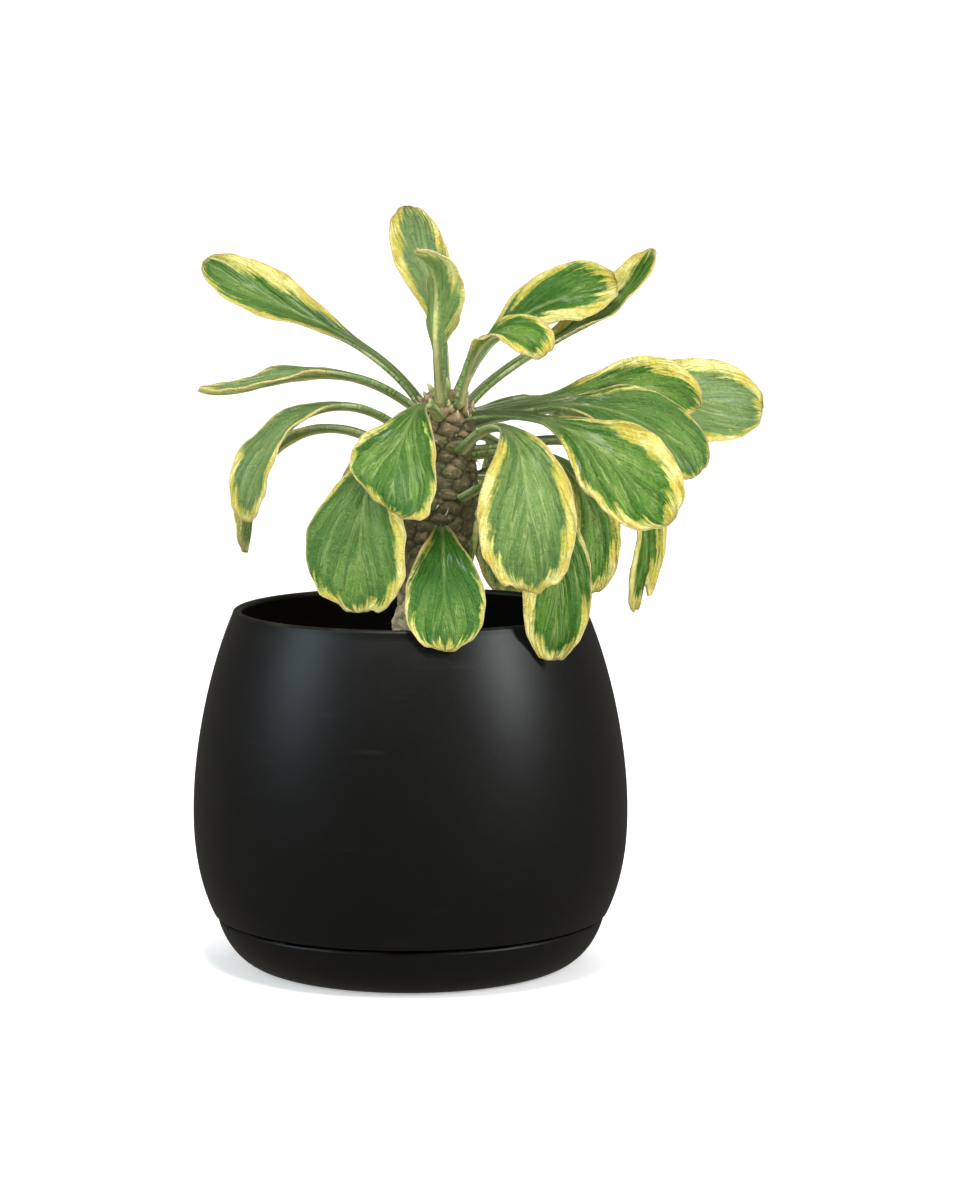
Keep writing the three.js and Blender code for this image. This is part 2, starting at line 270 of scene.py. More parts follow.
def rgb(red: int, green: int, blue: int) -> Colour:
    """A screen colour as the linear colour that shaders take.

    Args:
        red: From 0 to 255.
        green: From 0 to 255.
        blue: From 0 to 255.

    Returns:
        The linear colour, opaque.
    """

    def linear(level: int) -> float:
        """One screen level as a linear value."""
        share = level / 255
        return share / 12.92 if share <= 0.04045 else ((share + 0.055) / 1.055) ** 2.4

    return linear(red), linear(green), linear(blue), 1.0


@dataclass(frozen=True)
class LeafFinish:
    """A fleshy leaf: green with pale veins, feathering along them into a yellow margin."""

    deep: Colour = rgb(52, 106, 20)
    middle: Colour = rgb(96, 144, 40)
    base: Colour = rgb(124, 154, 70)
    pale: Colour = rgb(172, 194, 112)
    border: Colour = rgb(172, 178, 64)
    yellow: Colour = rgb(216, 198, 84)
    cream: Colour = rgb(242, 234, 148)
    edge: Colour = rgb(206, 180, 122)
    underside: Colour = rgb(144, 168, 88)
    # grey of the bloom, partly a painted sheen
    grey: Colour = rgb(144, 162, 112)
    stalk: Colour = rgb(106, 134, 68)
    stalk_pale: Colour = rgb(160, 174, 118)
    tip_brown: Colour = rgb(128, 94, 56)

    def make(self) -> Any:
        """Builds the material.

        Returns:
            The material, which reads the leaf mesh's attributes vein, zone, blade and tint.
        """
        n = Nodes("leaf_variegated")
        line, run, seed = n.parts(n.attribute("vein"))
        depth, edge, top = n.parts(n.attribute("zone"))
        along, across, stalk = n.parts(n.attribute("blade"))
        # per-leaf grey, partly a painted sheen, and per-leaf painted shade
        grey_bloom_and_sheen, painted_shade, _ = n.parts(n.attribute("grey_and_shade"))
        body = n.point(along * 0.1, across * 0.1, seed * 7.3)
        blotch = n.noise(body, 0.9, 2.0)
        clouds = n.noise(body, 1.7, 3.0)
        crumple = n.noise(body, 4.2, 3.0, 0.6)
        line = line + (clouds - 0.5) * 0.05 + (crumple - 0.5) * 0.02
        share = line + abs(run) * VEIN_SLANT

        feather = n.noise(n.point(line * 9.0, run * 1.3, seed * 5.1), 1.0, 2.0)
        spikes = n.noise(n.point(line * 34.0, run * 2.6, seed * 3.7), 1.0, 2.0)
        teeth = (feather - 0.5) * 11.0 + (spikes - 0.5) * 6.5 * n.ramp01(share, 0.5, 0.95)
        inside = depth + teeth + (blotch - 0.5) * 6.0 + (crumple - 0.5) * 3.0
        green = n.ramp01(inside, -1.2, 1.1)
        heart = n.ramp01(inside, 0.8, 8.5)

        streaks = n.noise(n.point(line * 9.5, run * 1.5, seed * 2.3), 1.0, 2.0)
        hairs = n.noise(n.point(line * 46.0, run * 3.4, seed * 1.9), 1.0, 2.0)
        veins = 1.0 - n.ramp01(abs(streaks - 0.5), 0.0, 0.038)
        branches = 1.0 - n.ramp01(abs(feather - 0.52), 0.0, 0.03)
        shade = n.ramp01(streaks * 0.7 + crumple * 0.3, 0.45, 0.56)

        tone = n.mix(n.ramp01(share, 0.40, 0.92), self.base, self.middle)
        tone = n.mix(n.ramp01(clouds, 0.40, 0.60) * heart * 0.6, tone, self.base)
        tone = n.mix(shade * (1.0 - heart * 0.35), tone, self.deep)
        tone = n.mix((1.0 - heart) * 0.35, tone, self.deep)
        tone = n.mix(n.ramp01(hairs, 0.50, 0.64) * 0.22, tone, self.deep)
        tone = n.mix(veins * heart * 0.62, tone, self.pale)
        tone = n.mix(branches * heart * 0.40, tone, self.pale)
        # painted shade: darkens each leaf towards deep green by its own amount, most near the base;
        # on leaf_front_low a painted shadow
        tone = n.mix(painted_shade, tone, self.deep)
        # grey bloom, partly a painted sheen that pales and greys the green
        tone = n.mix(grey_bloom_and_sheen * (0.6 + crumple * 0.8), tone, self.grey)

        sun = n.mix(n.ramp01(blotch, 0.38, 0.62), self.yellow, self.cream)
        sun = n.mix(n.ramp01(inside, -3.0, 0.4) * 0.8, sun, self.border)
        sun = n.mix(n.ramp01(spikes, 0.58, 0.68) * 0.4, sun, self.border)
        colour = n.mix(green, sun, tone)

        specks = n.ramp01(n.noise(body, 14.0, 2.0), 0.68, 0.75)
        colour = n.mix(specks * (1.0 - heart * 0.6) * 0.55, colour, self.tip_brown)
        rim = 1.0 - n.ramp01(edge + (spikes - 0.5) * 0.9, 0.2, 0.9)
        colour = n.mix(rim * (1.0 - stalk) * 0.7, colour, self.edge)

        middle = 1.0 - n.ramp01(abs(across), 0.15, 1.2)
        stem_tone = n.mix(n.ramp01(streaks, 0.42, 0.6), self.stalk, self.stalk_pale)
        colour = n.mix(middle * n.ramp01(share, 0.95, 0.45) * 0.5, colour, self.pale)
        colour = n.mix(stalk, colour, stem_tone)
        below = 1.0 - top
        colour = n.mix(below * 0.4, colour, self.underside)
        keel = (1.0 - n.ramp01(abs(across), 0.5, 2.0)) * n.ramp01(share, 1.0, 0.4)
        colour = n.mix(below * keel * 0.75, colour, self.cream)

        gloss = 0.36 + (clouds - 0.5) * 0.3 + below * 0.16 + rim * 0.1
        height = streaks * 1.6 + crumple * 1.1 + hairs * 0.12 - veins * 0.16 - branches * 0.10
        normal = n.bump(height, 2.8 * MM)
        return n.surface(colour, gloss, normal, Coat_Weight=0.12, Coat_Roughness=0.22)


@dataclass(frozen=True)
class BarkFinish:
    """The stem's skin: olive-brown knobs with painted shade in the creases, pinkish leaf scars, a
    grey foot.
    """

    foot: Colour = rgb(208, 192, 154)
    trunk: Colour = rgb(90, 85, 48)
    crown: Colour = rgb(140, 118, 86)
    green: Colour = rgb(96, 104, 52)
    # painted shade colour for the creases
    crease_shade: Colour = rgb(56, 50, 30)
    scar: Colour = rgb(186, 152, 122)
    dust: Colour = rgb(176, 162, 130)

    def make(self) -> Any:
        """Builds the material.

        Returns:
            The material, which reads the stem mesh's attribute bark.
        """
        n = Nodes("stem_bark")
        high, scar, lift = n.parts(n.attribute("bark"))
        at = n.place()
        clouds = n.noise(at, 90.0, 3.0)
        grain = n.noise(at, 520.0, 3.0, 0.65)
        cracks = n.cells(at, 620.0, "DISTANCE_TO_EDGE")
        tone = n.mix(n.ramp01(high + (clouds - 0.5) * 0.5, 0.12, 0.42), self.foot, self.trunk)
        tone = n.mix(n.ramp01(high + (clouds - 0.5) * 0.3, 0.78, 0.98), tone, self.crown)
        mossy = n.ramp01(clouds, 0.52, 0.66) * n.ramp01(high, 0.3, 0.7)
        tone = n.mix(mossy * 0.6, tone, self.green)
        blots = n.ramp01(n.noise(at, 240.0, 3.0), 0.50, 0.62) * n.ramp01(high, 0.5, 0.1)
        tone = n.mix(blots * 0.45, tone, self.trunk)
        tone = n.mix(n.ramp01(grain, 0.50, 0.72) * 0.4, tone, self.dust)
        tone = n.mix(scar * 0.6, tone, self.scar)
        # painted shade in the creases between the knobs, lighter at the foot
        crease_shade_mask = n.ramp01(lift + (grain - 0.5) * 0.5, 0.34, 0.02)
        tone = n.mix(crease_shade_mask * (0.85 - n.ramp01(high, 0.45, 0.15) * 0.42), tone, self.crease_shade)
        roughness = 0.78 + (grain - 0.5) * 0.3
        height = grain * 0.7 + clouds * 0.4 + n.ramp01(cracks, 0.0, 0.12) * 0.3
        return n.surface(tone, roughness, n.bump(height, 0.8 * MM, 0.8))


@dataclass(frozen=True)
class PotFinish:
    """Satin-matte black plastic with a faint moulded grain, dust and handling marks."""

    black: Colour = rgb(5, 5, 4)
    worn: Colour = rgb(11, 11, 9)
    dust: Colour = rgb(78, 74, 62)

    def make(self) -> Any:
        """Builds the material.

        Returns:
            The material.
        """
        n = Nodes("pot_black_plastic")
        at = n.place()
        x, y, z = n.parts(at)
        broad = n.noise(at, 14.0, 3.0)
        grain = n.noise(at, 1500.0, 2.0, 0.6)
        pits = n.cells(at, 1100.0)
        swirl = n.noise(n.point(x * 30.0, y * 30.0, z * 900.0), 1.0, 2.0)
        up = n.parts(n.node("NewGeometry", {}, {}, "Normal"))[2]
        settled = n.ramp01(up, 0.25, 0.95) * n.ramp01(n.noise(at, 60.0, 3.0), 0.42, 0.62)
        scuffs = n.ramp01(n.noise(n.point(x * 40.0, y * 40.0, z * 320.0), 1.0, 2.0), 0.66, 0.74)
        colour = n.mix(broad, self.black, self.worn)
        colour = n.mix(settled * 0.22, colour, self.dust)
        colour = n.mix(scuffs * 0.04, colour, self.dust)
        roughness = 0.42 + (broad - 0.5) * 0.12 + (grain - 0.5) * 0.06
        roughness = roughness + settled * 0.2 + scuffs * 0.06
        height = grain * 0.6 + pits * 0.4 + swirl * 0.15
        normal = n.bump(height, 0.06 * MM, 0.5)
        return n.surface(colour, roughness, normal, Specular_IOR_Level=0.40)


@dataclass(frozen=True)
class SoilFinish:
    """Loose potting mix; the grains run from dark bark to pale pumice by their own shade."""

    peat: Colour = rgb(44, 33, 24)
    fibre: Colour = rgb(92, 70, 48)
    pumice: Colour = rgb(158, 146, 124)

    def make(self) -> Any:
        """Builds the material.

        Returns:
            The material, which reads the soil meshes' attribute grain.
        """
        n = Nodes("potting_soil")
        shade = n.parts(n.attribute("grain"))[0]
        at = n.place()
        crumbs = n.noise(at, 260.0, 4.0, 0.7)
        fine = n.noise(at, 1300.0, 3.0)
        colour = n.mix(n.ramp01(crumbs, 0.35, 0.7), self.peat, self.fibre)
        colour = n.mix(n.ramp01(shade, 0.55, 0.9), colour, self.pumice)
        colour = n.mix(n.ramp01(fine, 0.5, 0.75) * 0.4, colour, self.fibre)
        roughness = 0.9 + (fine - 0.5) * 0.15
        return n.surface(colour, roughness, n.bump(crumbs + fine * 0.5, 1.2 * MM))


@dataclass(frozen=True)
class BudFinish:
    """The crown's fresh buds and its dry bracts, which differ in colour only."""

    name: str = "crown_bud"
    base: Colour = rgb(112, 138, 76)
    tip: Colour = rgb(206, 208, 140)

    def make(self) -> Any:
        """Builds the material.

        Returns:
            The material, which reads the bud mesh's attribute bud.
        """
        n = Nodes(self.name)
        share = n.parts(n.attribute("bud"))[0]
        clouds = n.noise(n.place(), 380.0, 3.0)
        colour = n.mix(n.ramp01(share + (clouds - 0.5) * 0.6, 0.2, 0.95), self.base, self.tip)
        roughness = 0.5 + (clouds - 0.5) * 0.2
        return n.surface(colour, roughness, n.bump(clouds, 0.5 * MM))


@dataclass(frozen=True)
class SpineFinish:
    """Thin dry spines: whitish tan, darker where they are rooted."""

    root: Colour = rgb(128, 108, 78)
    shaft: Colour = rgb(226, 218, 194)

    def make(self) -> Any:
        """Builds the material.

        Returns:
            The material, which reads the spine mesh's attribute bud.
        """
        n = Nodes("dry_spine")
        share = n.parts(n.attribute("bud"))[0]
        fibre = n.noise(n.place(), 900.0, 2.0)
        colour = n.mix(n.ramp01(share + (fibre - 0.5) * 0.4, 0.0, 0.4), self.root, self.shaft)
        return n.surface(colour, 0.6 + (fibre - 0.5) * 0.2, n.bump(fibre, 0.2 * MM))


@dataclass(frozen=True)
class FloorFinish:
    """The plain pale floor and the sweep behind it."""

    pale: Colour = rgb(246, 246, 245)
    shade: Colour = rgb(243, 243, 243)
    glow: float = 0.36

    def make(self) -> Any:
        """Builds the material.

        Returns:
            The material.
        """
        n = Nodes("pale_floor")
        clouds = n.noise(n.place(), 3.0, 2.0)
        colour = n.mix(clouds, self.pale, self.shade)
        roughness = 0.9 + (clouds - 0.5) * 0.05
        constants = {"Emission_Color": (1.0, 1.0, 1.0, 1.0), "Emission_Strength": self.glow}
        made = n.surface(colour, roughness, None, Specular_IOR_Level=0.1, **constants)
        made.cycles.emission_sampling = "NONE"
        return made


class Finish(Enum):
    """The finishes that pieces are dressed in."""

    LEAF = LeafFinish()
    BARK = BarkFinish()
    POT = PotFinish()
    SOIL = SoilFinish()
    BUD = BudFinish()
    BRACT = BudFinish("crown_bract", rgb(118, 100, 66), rgb(182, 160, 120))
    SPINE = SpineFinish()
    FLOOR = FloorFinish()


class Slot(Enum):
    """Material slot names."""

    POT = "pot_black"
    SOIL = "soil"
    BARK = "stem_bark"
    LEAF = "leaf"


# ---- Meshes ---------------------------------------------------------------------------------


@dataclass
class Shape:
    """A mesh in the making: points in millimetres, faces, and vectors carried at the points."""

    points: np.ndarray
    faces: list[tuple[int, ...]]
    carried: dict[str, np.ndarray] = field(default_factory=dict)

    @staticmethod
    def joined(shapes: Iterable["Shape"]) -> "Shape":
        """Several shapes as one mesh.

        Args:
            shapes: The shapes, which all carry the same vectors.

        Returns:
            One shape that holds them all.
        """
        listed = list(shapes)
        faces: list[tuple[int, ...]] = []
        offset = 0
        for shape in listed:
            faces += [tuple(i + offset for i in face) for face in shape.faces]
            offset += len(shape.points)
        carried = {key: np.vstack([s.carried[key] for s in listed]) for key in listed[0].carried}
        return Shape(np.vstack([s.points for s in listed]), faces, carried)


def ring_faces(rows: int, columns: int, wrap_rows: bool = False) -> list[tuple[int, ...]]:
    """Quads over rows of points that each close on themselves.

    Args:
        rows: How many rows.
        columns: How many points a row.
        wrap_rows: True if the last row joins the first.

    Returns:
        The faces.
    """
    faces = []
    for row in range(rows if wrap_rows else rows - 1):
        above = (row + 1) % rows
        for i in range(columns):
            j = (i + 1) % columns
            a, b = row * columns, above * columns
            faces.append((a + i, a + j, b + j, b + i))
    return faces


def tube_faces(rows: int, columns: int) -> list[tuple[int, ...]]:
    """Quads over rows of points that each close on themselves, with both ends closed.

    Args:
        rows: How many rows.
        columns: How many points a row.

    Returns:
        The faces.
    """
    first = tuple(range(columns))[::-1]
    last = tuple(range((rows - 1) * columns, rows * columns))
    return [*ring_faces(rows, columns), first, last]


class Bench:
    """Where pieces become objects: it keeps the finishes and puts each piece on the frame."""

    def __init__(self) -> None:
        """Starts with no finish made."""
        self._made: dict[Finish, Any] = {}

    def finish(self, finish: Finish) -> Any:
        """The material of a finish, made once.

        Args:
            finish: The finish.

        Returns:
            Its material.
        """
        if finish not in self._made:
            self._made[finish] = finish.value.make()
        return self._made[finish]

    def mesh(self, name: str, shape: Shape, finish: Finish) -> Any:
        """Makes a smooth mesh object from a shape.

        Args:
            name: The object's name.
            shape: Its points, faces and carried vectors.
            finish: What it is dressed in.

        Returns:
            The object, in the scene.
        """
        data = bpy.data.meshes.new(name)
        data.from_pydata((shape.points * MM).tolist(), [], shape.faces)
        data.polygons.foreach_set("use_smooth", [True] * len(data.polygons))
        for key, vectors in shape.carried.items():
            layer = data.attributes.new(key, "FLOAT_VECTOR", "POINT")
            layer.data.foreach_set("vector", vectors.astype(np.float32).ravel())
        data.update()
        data.materials.append(self.finish(finish))
        made = bpy.data.objects.new(name, data)
        bpy.context.scene.collection.objects.link(made)
        return made

    def piece(
        self, name: str, shape: Shape, finish: Finish, replaced: str = ""
    ) -> Any:
        """Makes a piece of the plant, riding on the frame.

        Args:
            name: The piece's name.
            shape: Its mesh.
            finish: What it is dressed in.
            replaced: The CAD node that it stands for, if any.

        Returns:
            The object.
        """
        made = self.mesh(name, shape, finish)
        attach(made, BODY)
        if replaced:
            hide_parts(replaced)
        low, high = shape.points.min(0), shape.points.max(0)
        LOG.info("%s: %d faces, %s to %s mm", name, len(shape.faces), low.round(1), high.round(1))
        return made


def smooth(value: Any, low: float, high: float) -> Any:
    """A smooth step from 0 at low to 1 at high."""
    share = np.clip((value - low) / (high - low), 0.0, 1.0)
    return share * share * (3.0 - 2.0 * share)


def mix(a: Any, b: Any, share: Any) -> Any:
    """A value between two."""
    return a + (b - a) * share


def ripple(value: Any, seed: float, waves: Sequence[float] = (1.0, 2.3, 4.1)) -> Any:
    """A smooth random-looking line, about -1 to 1.

    Args:
        value: Where it is read.
        seed: Which line.
        waves: Its frequencies, from the strongest to the weakest.

    Returns:
        The height of the line.
    """
    total = 0.0
    for index, wave in enumerate(waves):
        phase = math.tau * ((seed * 0.754877 + index * 0.569840) % 1.0)
        total = total + np.sin(math.tau * wave * value + phase) / (1.0 + index)
    return total / sum(1.0 / (1.0 + index) for index in range(len(waves)))


def bezier(points: Sequence[Sequence[float]], steps: int) -> np.ndarray:
    """Points along a cubic curve.

    Args:
        points: Its four control points.
        steps: How many spans.

    Returns:
        The points, one more than the spans.
    """
    t = np.linspace(0.0, 1.0, steps + 1)[:, None]
    a, b, c, d = (np.array(p, float) for p in points)
    return (1 - t) ** 3 * a + 3 * (1 - t) ** 2 * t * b + 3 * (1 - t) * t * t * c + t ** 3 * d


def spline(points: Sequence[Sequence[float]], count: int) -> np.ndarray:
    """Points along a smooth curve through all the given ones.

    Args:
        points: What it passes through.
        count: How many points are wanted.

    Returns:
        The points, evenly spaced in the curve's own parameter.
    """
    given = np.array(points, float)
    padded = np.vstack([given[0], given, given[-1]])
    place = np.linspace(0.0, len(given) - 1, count)
    span = np.minimum(place.astype(int), len(given) - 2)
    t = (place - span)[:, None]
    p0, p1, p2, p3 = (padded[span + k] for k in range(4))
    v0, v1 = (p2 - p0) / 2, (p3 - p1) / 2
    cubed, squared = 2 * (p1 - p2) + v0 + v1, 3 * (p2 - p1) - 2 * v0 - v1
    return ((cubed * t + squared) * t + v0) * t + p1


def turned(profile: np.ndarray, sides: int, closed: bool = True) -> Shape:
    """A turned shape from a profile.

    Args:
        profile: Pairs of radius and height, going round the section.
        sides: How many sides.
        closed: True if the section closes on itself, away from the axis.

    Returns:
        The shape.
    """
    angle = np.linspace(0.0, math.tau, sides, endpoint=False)
    radius, height = profile[:, 0:1], profile[:, 1:2]
    x, y = radius * np.cos(angle), radius * np.sin(angle)
    points = np.stack([x, y, np.broadcast_to(height, x.shape)], axis=-1).reshape(-1, 3)
    return Shape(points, ring_faces(len(profile), sides, wrap_rows=closed))


def softened(profile: Sequence[Sequence[float]], radius: float, steps: int = 3) -> np.ndarray:
    """A closed section with its corners rounded.

    Args:
        profile: The section's points.
        radius: How far from a sharp corner the rounding starts, in millimetres.
        steps: How many spans round a corner.

    Returns:
        The section with each sharp corner as a small arc.
    """
    given = np.array(profile, float)
    rounded = []
    for before, corner, after in zip(np.roll(given, 1, 0), given, np.roll(given, -1, 0)):
        back, on = before - corner, after - corner
        reach_back, reach_on = np.linalg.norm(back), np.linalg.norm(on)
        turn = np.dot(back, on) / (reach_back * reach_on)
        if turn < -0.94:
            rounded.append(corner)
            continue
        cut = min(radius, reach_back * 0.45, reach_on * 0.45)
        start, end = corner + back / reach_back * cut, corner + on / reach_on * cut
        for t in np.linspace(0.0, 1.0, steps + 1):
            rounded.append((1 - t) ** 2 * start + 2 * t * (1 - t) * corner + t * t * end)
    return np.array(rounded)


# ---- Pot and saucer -------------------------------------------------------------------------


def lip(outer: float, top: float, wall: float, steps: int = 12) -> list[tuple[float, float]]:
    """A half-round lip, from the outside of a wall over to its inside.

    Args:
        outer: The outside radius.
        top: The lip's height.
        wall: The wall's thickness.
        steps: How many spans.

    Returns:
        Pairs of radius and height.
    """
    r = wall / 2
    turns = np.linspace(0.0, math.pi, steps + 1)
    return [(outer - r + r * math.cos(a), top - r + r * math.sin(a)) for a in turns]


@dataclass(frozen=True)
class Saucer:
    """The dish that the pot nests in. Millimetres."""

    foot_radius: float = 71.0
    rim_radius: float = 89.2
    height: float = 22.4
    wall: float = 3.2
    floor: float = 3.0
    foot_ring: float = 6.0
    foot_rise: float = 0.8
    middle_hole: float = 1.0
    corner: float = 0.5
    sides: int = 160

    def outside(self) -> np.ndarray:
        """The outside, from the edge of the flat foot up to the lip.

        Returns:
            Pairs of radius and height.
        """
        foot, rim = self.foot_radius, self.rim_radius
        return bezier(
            [
                (foot, 0.0),
                (mix(foot, rim, 0.5), self.height * 0.1),
                (mix(foot, rim, 0.85), self.height * 0.5),
                (rim, self.height - self.wall / 2),
            ],
            20,
        )

    def build(self, bench: Bench) -> None:
        """Builds and dresses the saucer.

        Args:
            bench: Where pieces become objects.
        """
        outside = self.outside()
        inside = outside - np.array([self.wall, 0.0])
        inside = inside[inside[:, 1] > self.floor + 0.5][:-1][::-1]
        ring = self.foot_radius - self.foot_ring
        section = softened(
            [
                (self.middle_hole, self.foot_rise),
                (ring, self.foot_rise),
                (ring + self.foot_rise, 0.0),
                *outside[:-1],
                *lip(self.rim_radius, self.height, self.wall),
                *inside,
                (self.foot_radius - self.wall, self.floor),
                (self.middle_hole, self.floor),
            ],
            self.corner,
        )
        bench.piece("saucer_moulded", turned(section, self.sides), Finish.POT, "saucer")


@dataclass(frozen=True)
class Pot:
    """The round pot, its body wider than the skirt that nests in the saucer. Millimetres."""

    saucer: Saucer = Saucer()
    height: float = 164.0
    belly_radius: float = 100.2
    belly_height: float = 70.0
    rim_radius: float = 81.6
    overhang: float = 1.8
    wall: float = 4.2
    floor: float = 4.5
    seam: float = 1.1
    saucer_clearance: float = 2.4
    gap: float = 0.3
    foot_rise: float = 3.0
    foot_ring: float = 7.0
    drain_radius: float = 7.0
    corner: float = 0.9
    spans: int = 24
    sides: int = 192

    @property
    def shoulder(self) -> tuple[float, float]:
        """The body's lowest edge, just over the saucer's lip, as radius and height."""
        return self.saucer.rim_radius + self.overhang, self.saucer.height + self.seam

    def outside(self) -> np.ndarray:
        """The body's side, from the shoulder over the belly up to the lip.

        Returns:
            Pairs of radius and height.
        """
        radius, low = self.shoulder
        belly, high = self.belly_radius, self.belly_height
        lower = bezier(
            [
                (radius, low),
                (mix(radius, belly, 0.72), mix(low, high, 0.3)),
                (belly, mix(low, high, 0.62)),
                (belly, high),
            ],
            self.spans,
        )
        upper = bezier(
            [
                (belly, high),
                (belly, mix(high, self.height, 0.36)),
                (mix(self.rim_radius, belly, 0.5), mix(high, self.height, 0.75)),
                (self.rim_radius, self.height - self.wall / 2),
            ],
            self.spans,
        )
        return np.vstack([lower, upper[1:]])

    def side(self, height: float) -> float:
        """The pot's outside radius at a height."""
        body = self.outside()
        return float(np.interp(height, body[:, 1], body[:, 0]))

    def inside_radius(self, height: float) -> float:
        """The pot's inside radius at a height."""
        return self.side(height) - self.wall

    def build(self, bench: Bench) -> None:
        """Builds and dresses the pot.

        Args:
            bench: Where pieces become objects.
        """
        low = self.shoulder[1]
        dish = self.saucer
        under = dish.floor + self.gap
        floor_under = under + self.foot_rise
        floor_top = floor_under + self.floor
        skirt_top = dish.rim_radius - dish.wall - self.saucer_clearance
        skirt_foot = dish.foot_radius - dish.wall - self.saucer_clearance
        ledge = low + self.wall
        body = self.outside()
        inner = body[body[:, 1] > ledge + 1.0][:-1][::-1] - np.array([self.wall, 0.0])
        section = softened(
            [
                (self.drain_radius, floor_under),
                (skirt_foot - self.foot_ring, floor_under),
                (skirt_foot - self.foot_ring, under),
                (skirt_foot, under),
                (skirt_top, low),
                *body[:-1],
                *lip(self.rim_radius, self.height, self.wall),
                *inner,
                (self.side(ledge) - self.wall, ledge),
                (skirt_top - self.wall, ledge),
                (skirt_foot - self.wall, floor_top),
                (self.drain_radius, floor_top),
            ],
            self.corner,
        )
        bench.piece("pot_moulded", turned(section, self.sides), Finish.POT, "pot")


# ---- Stem -----------------------------------------------------------------------------------


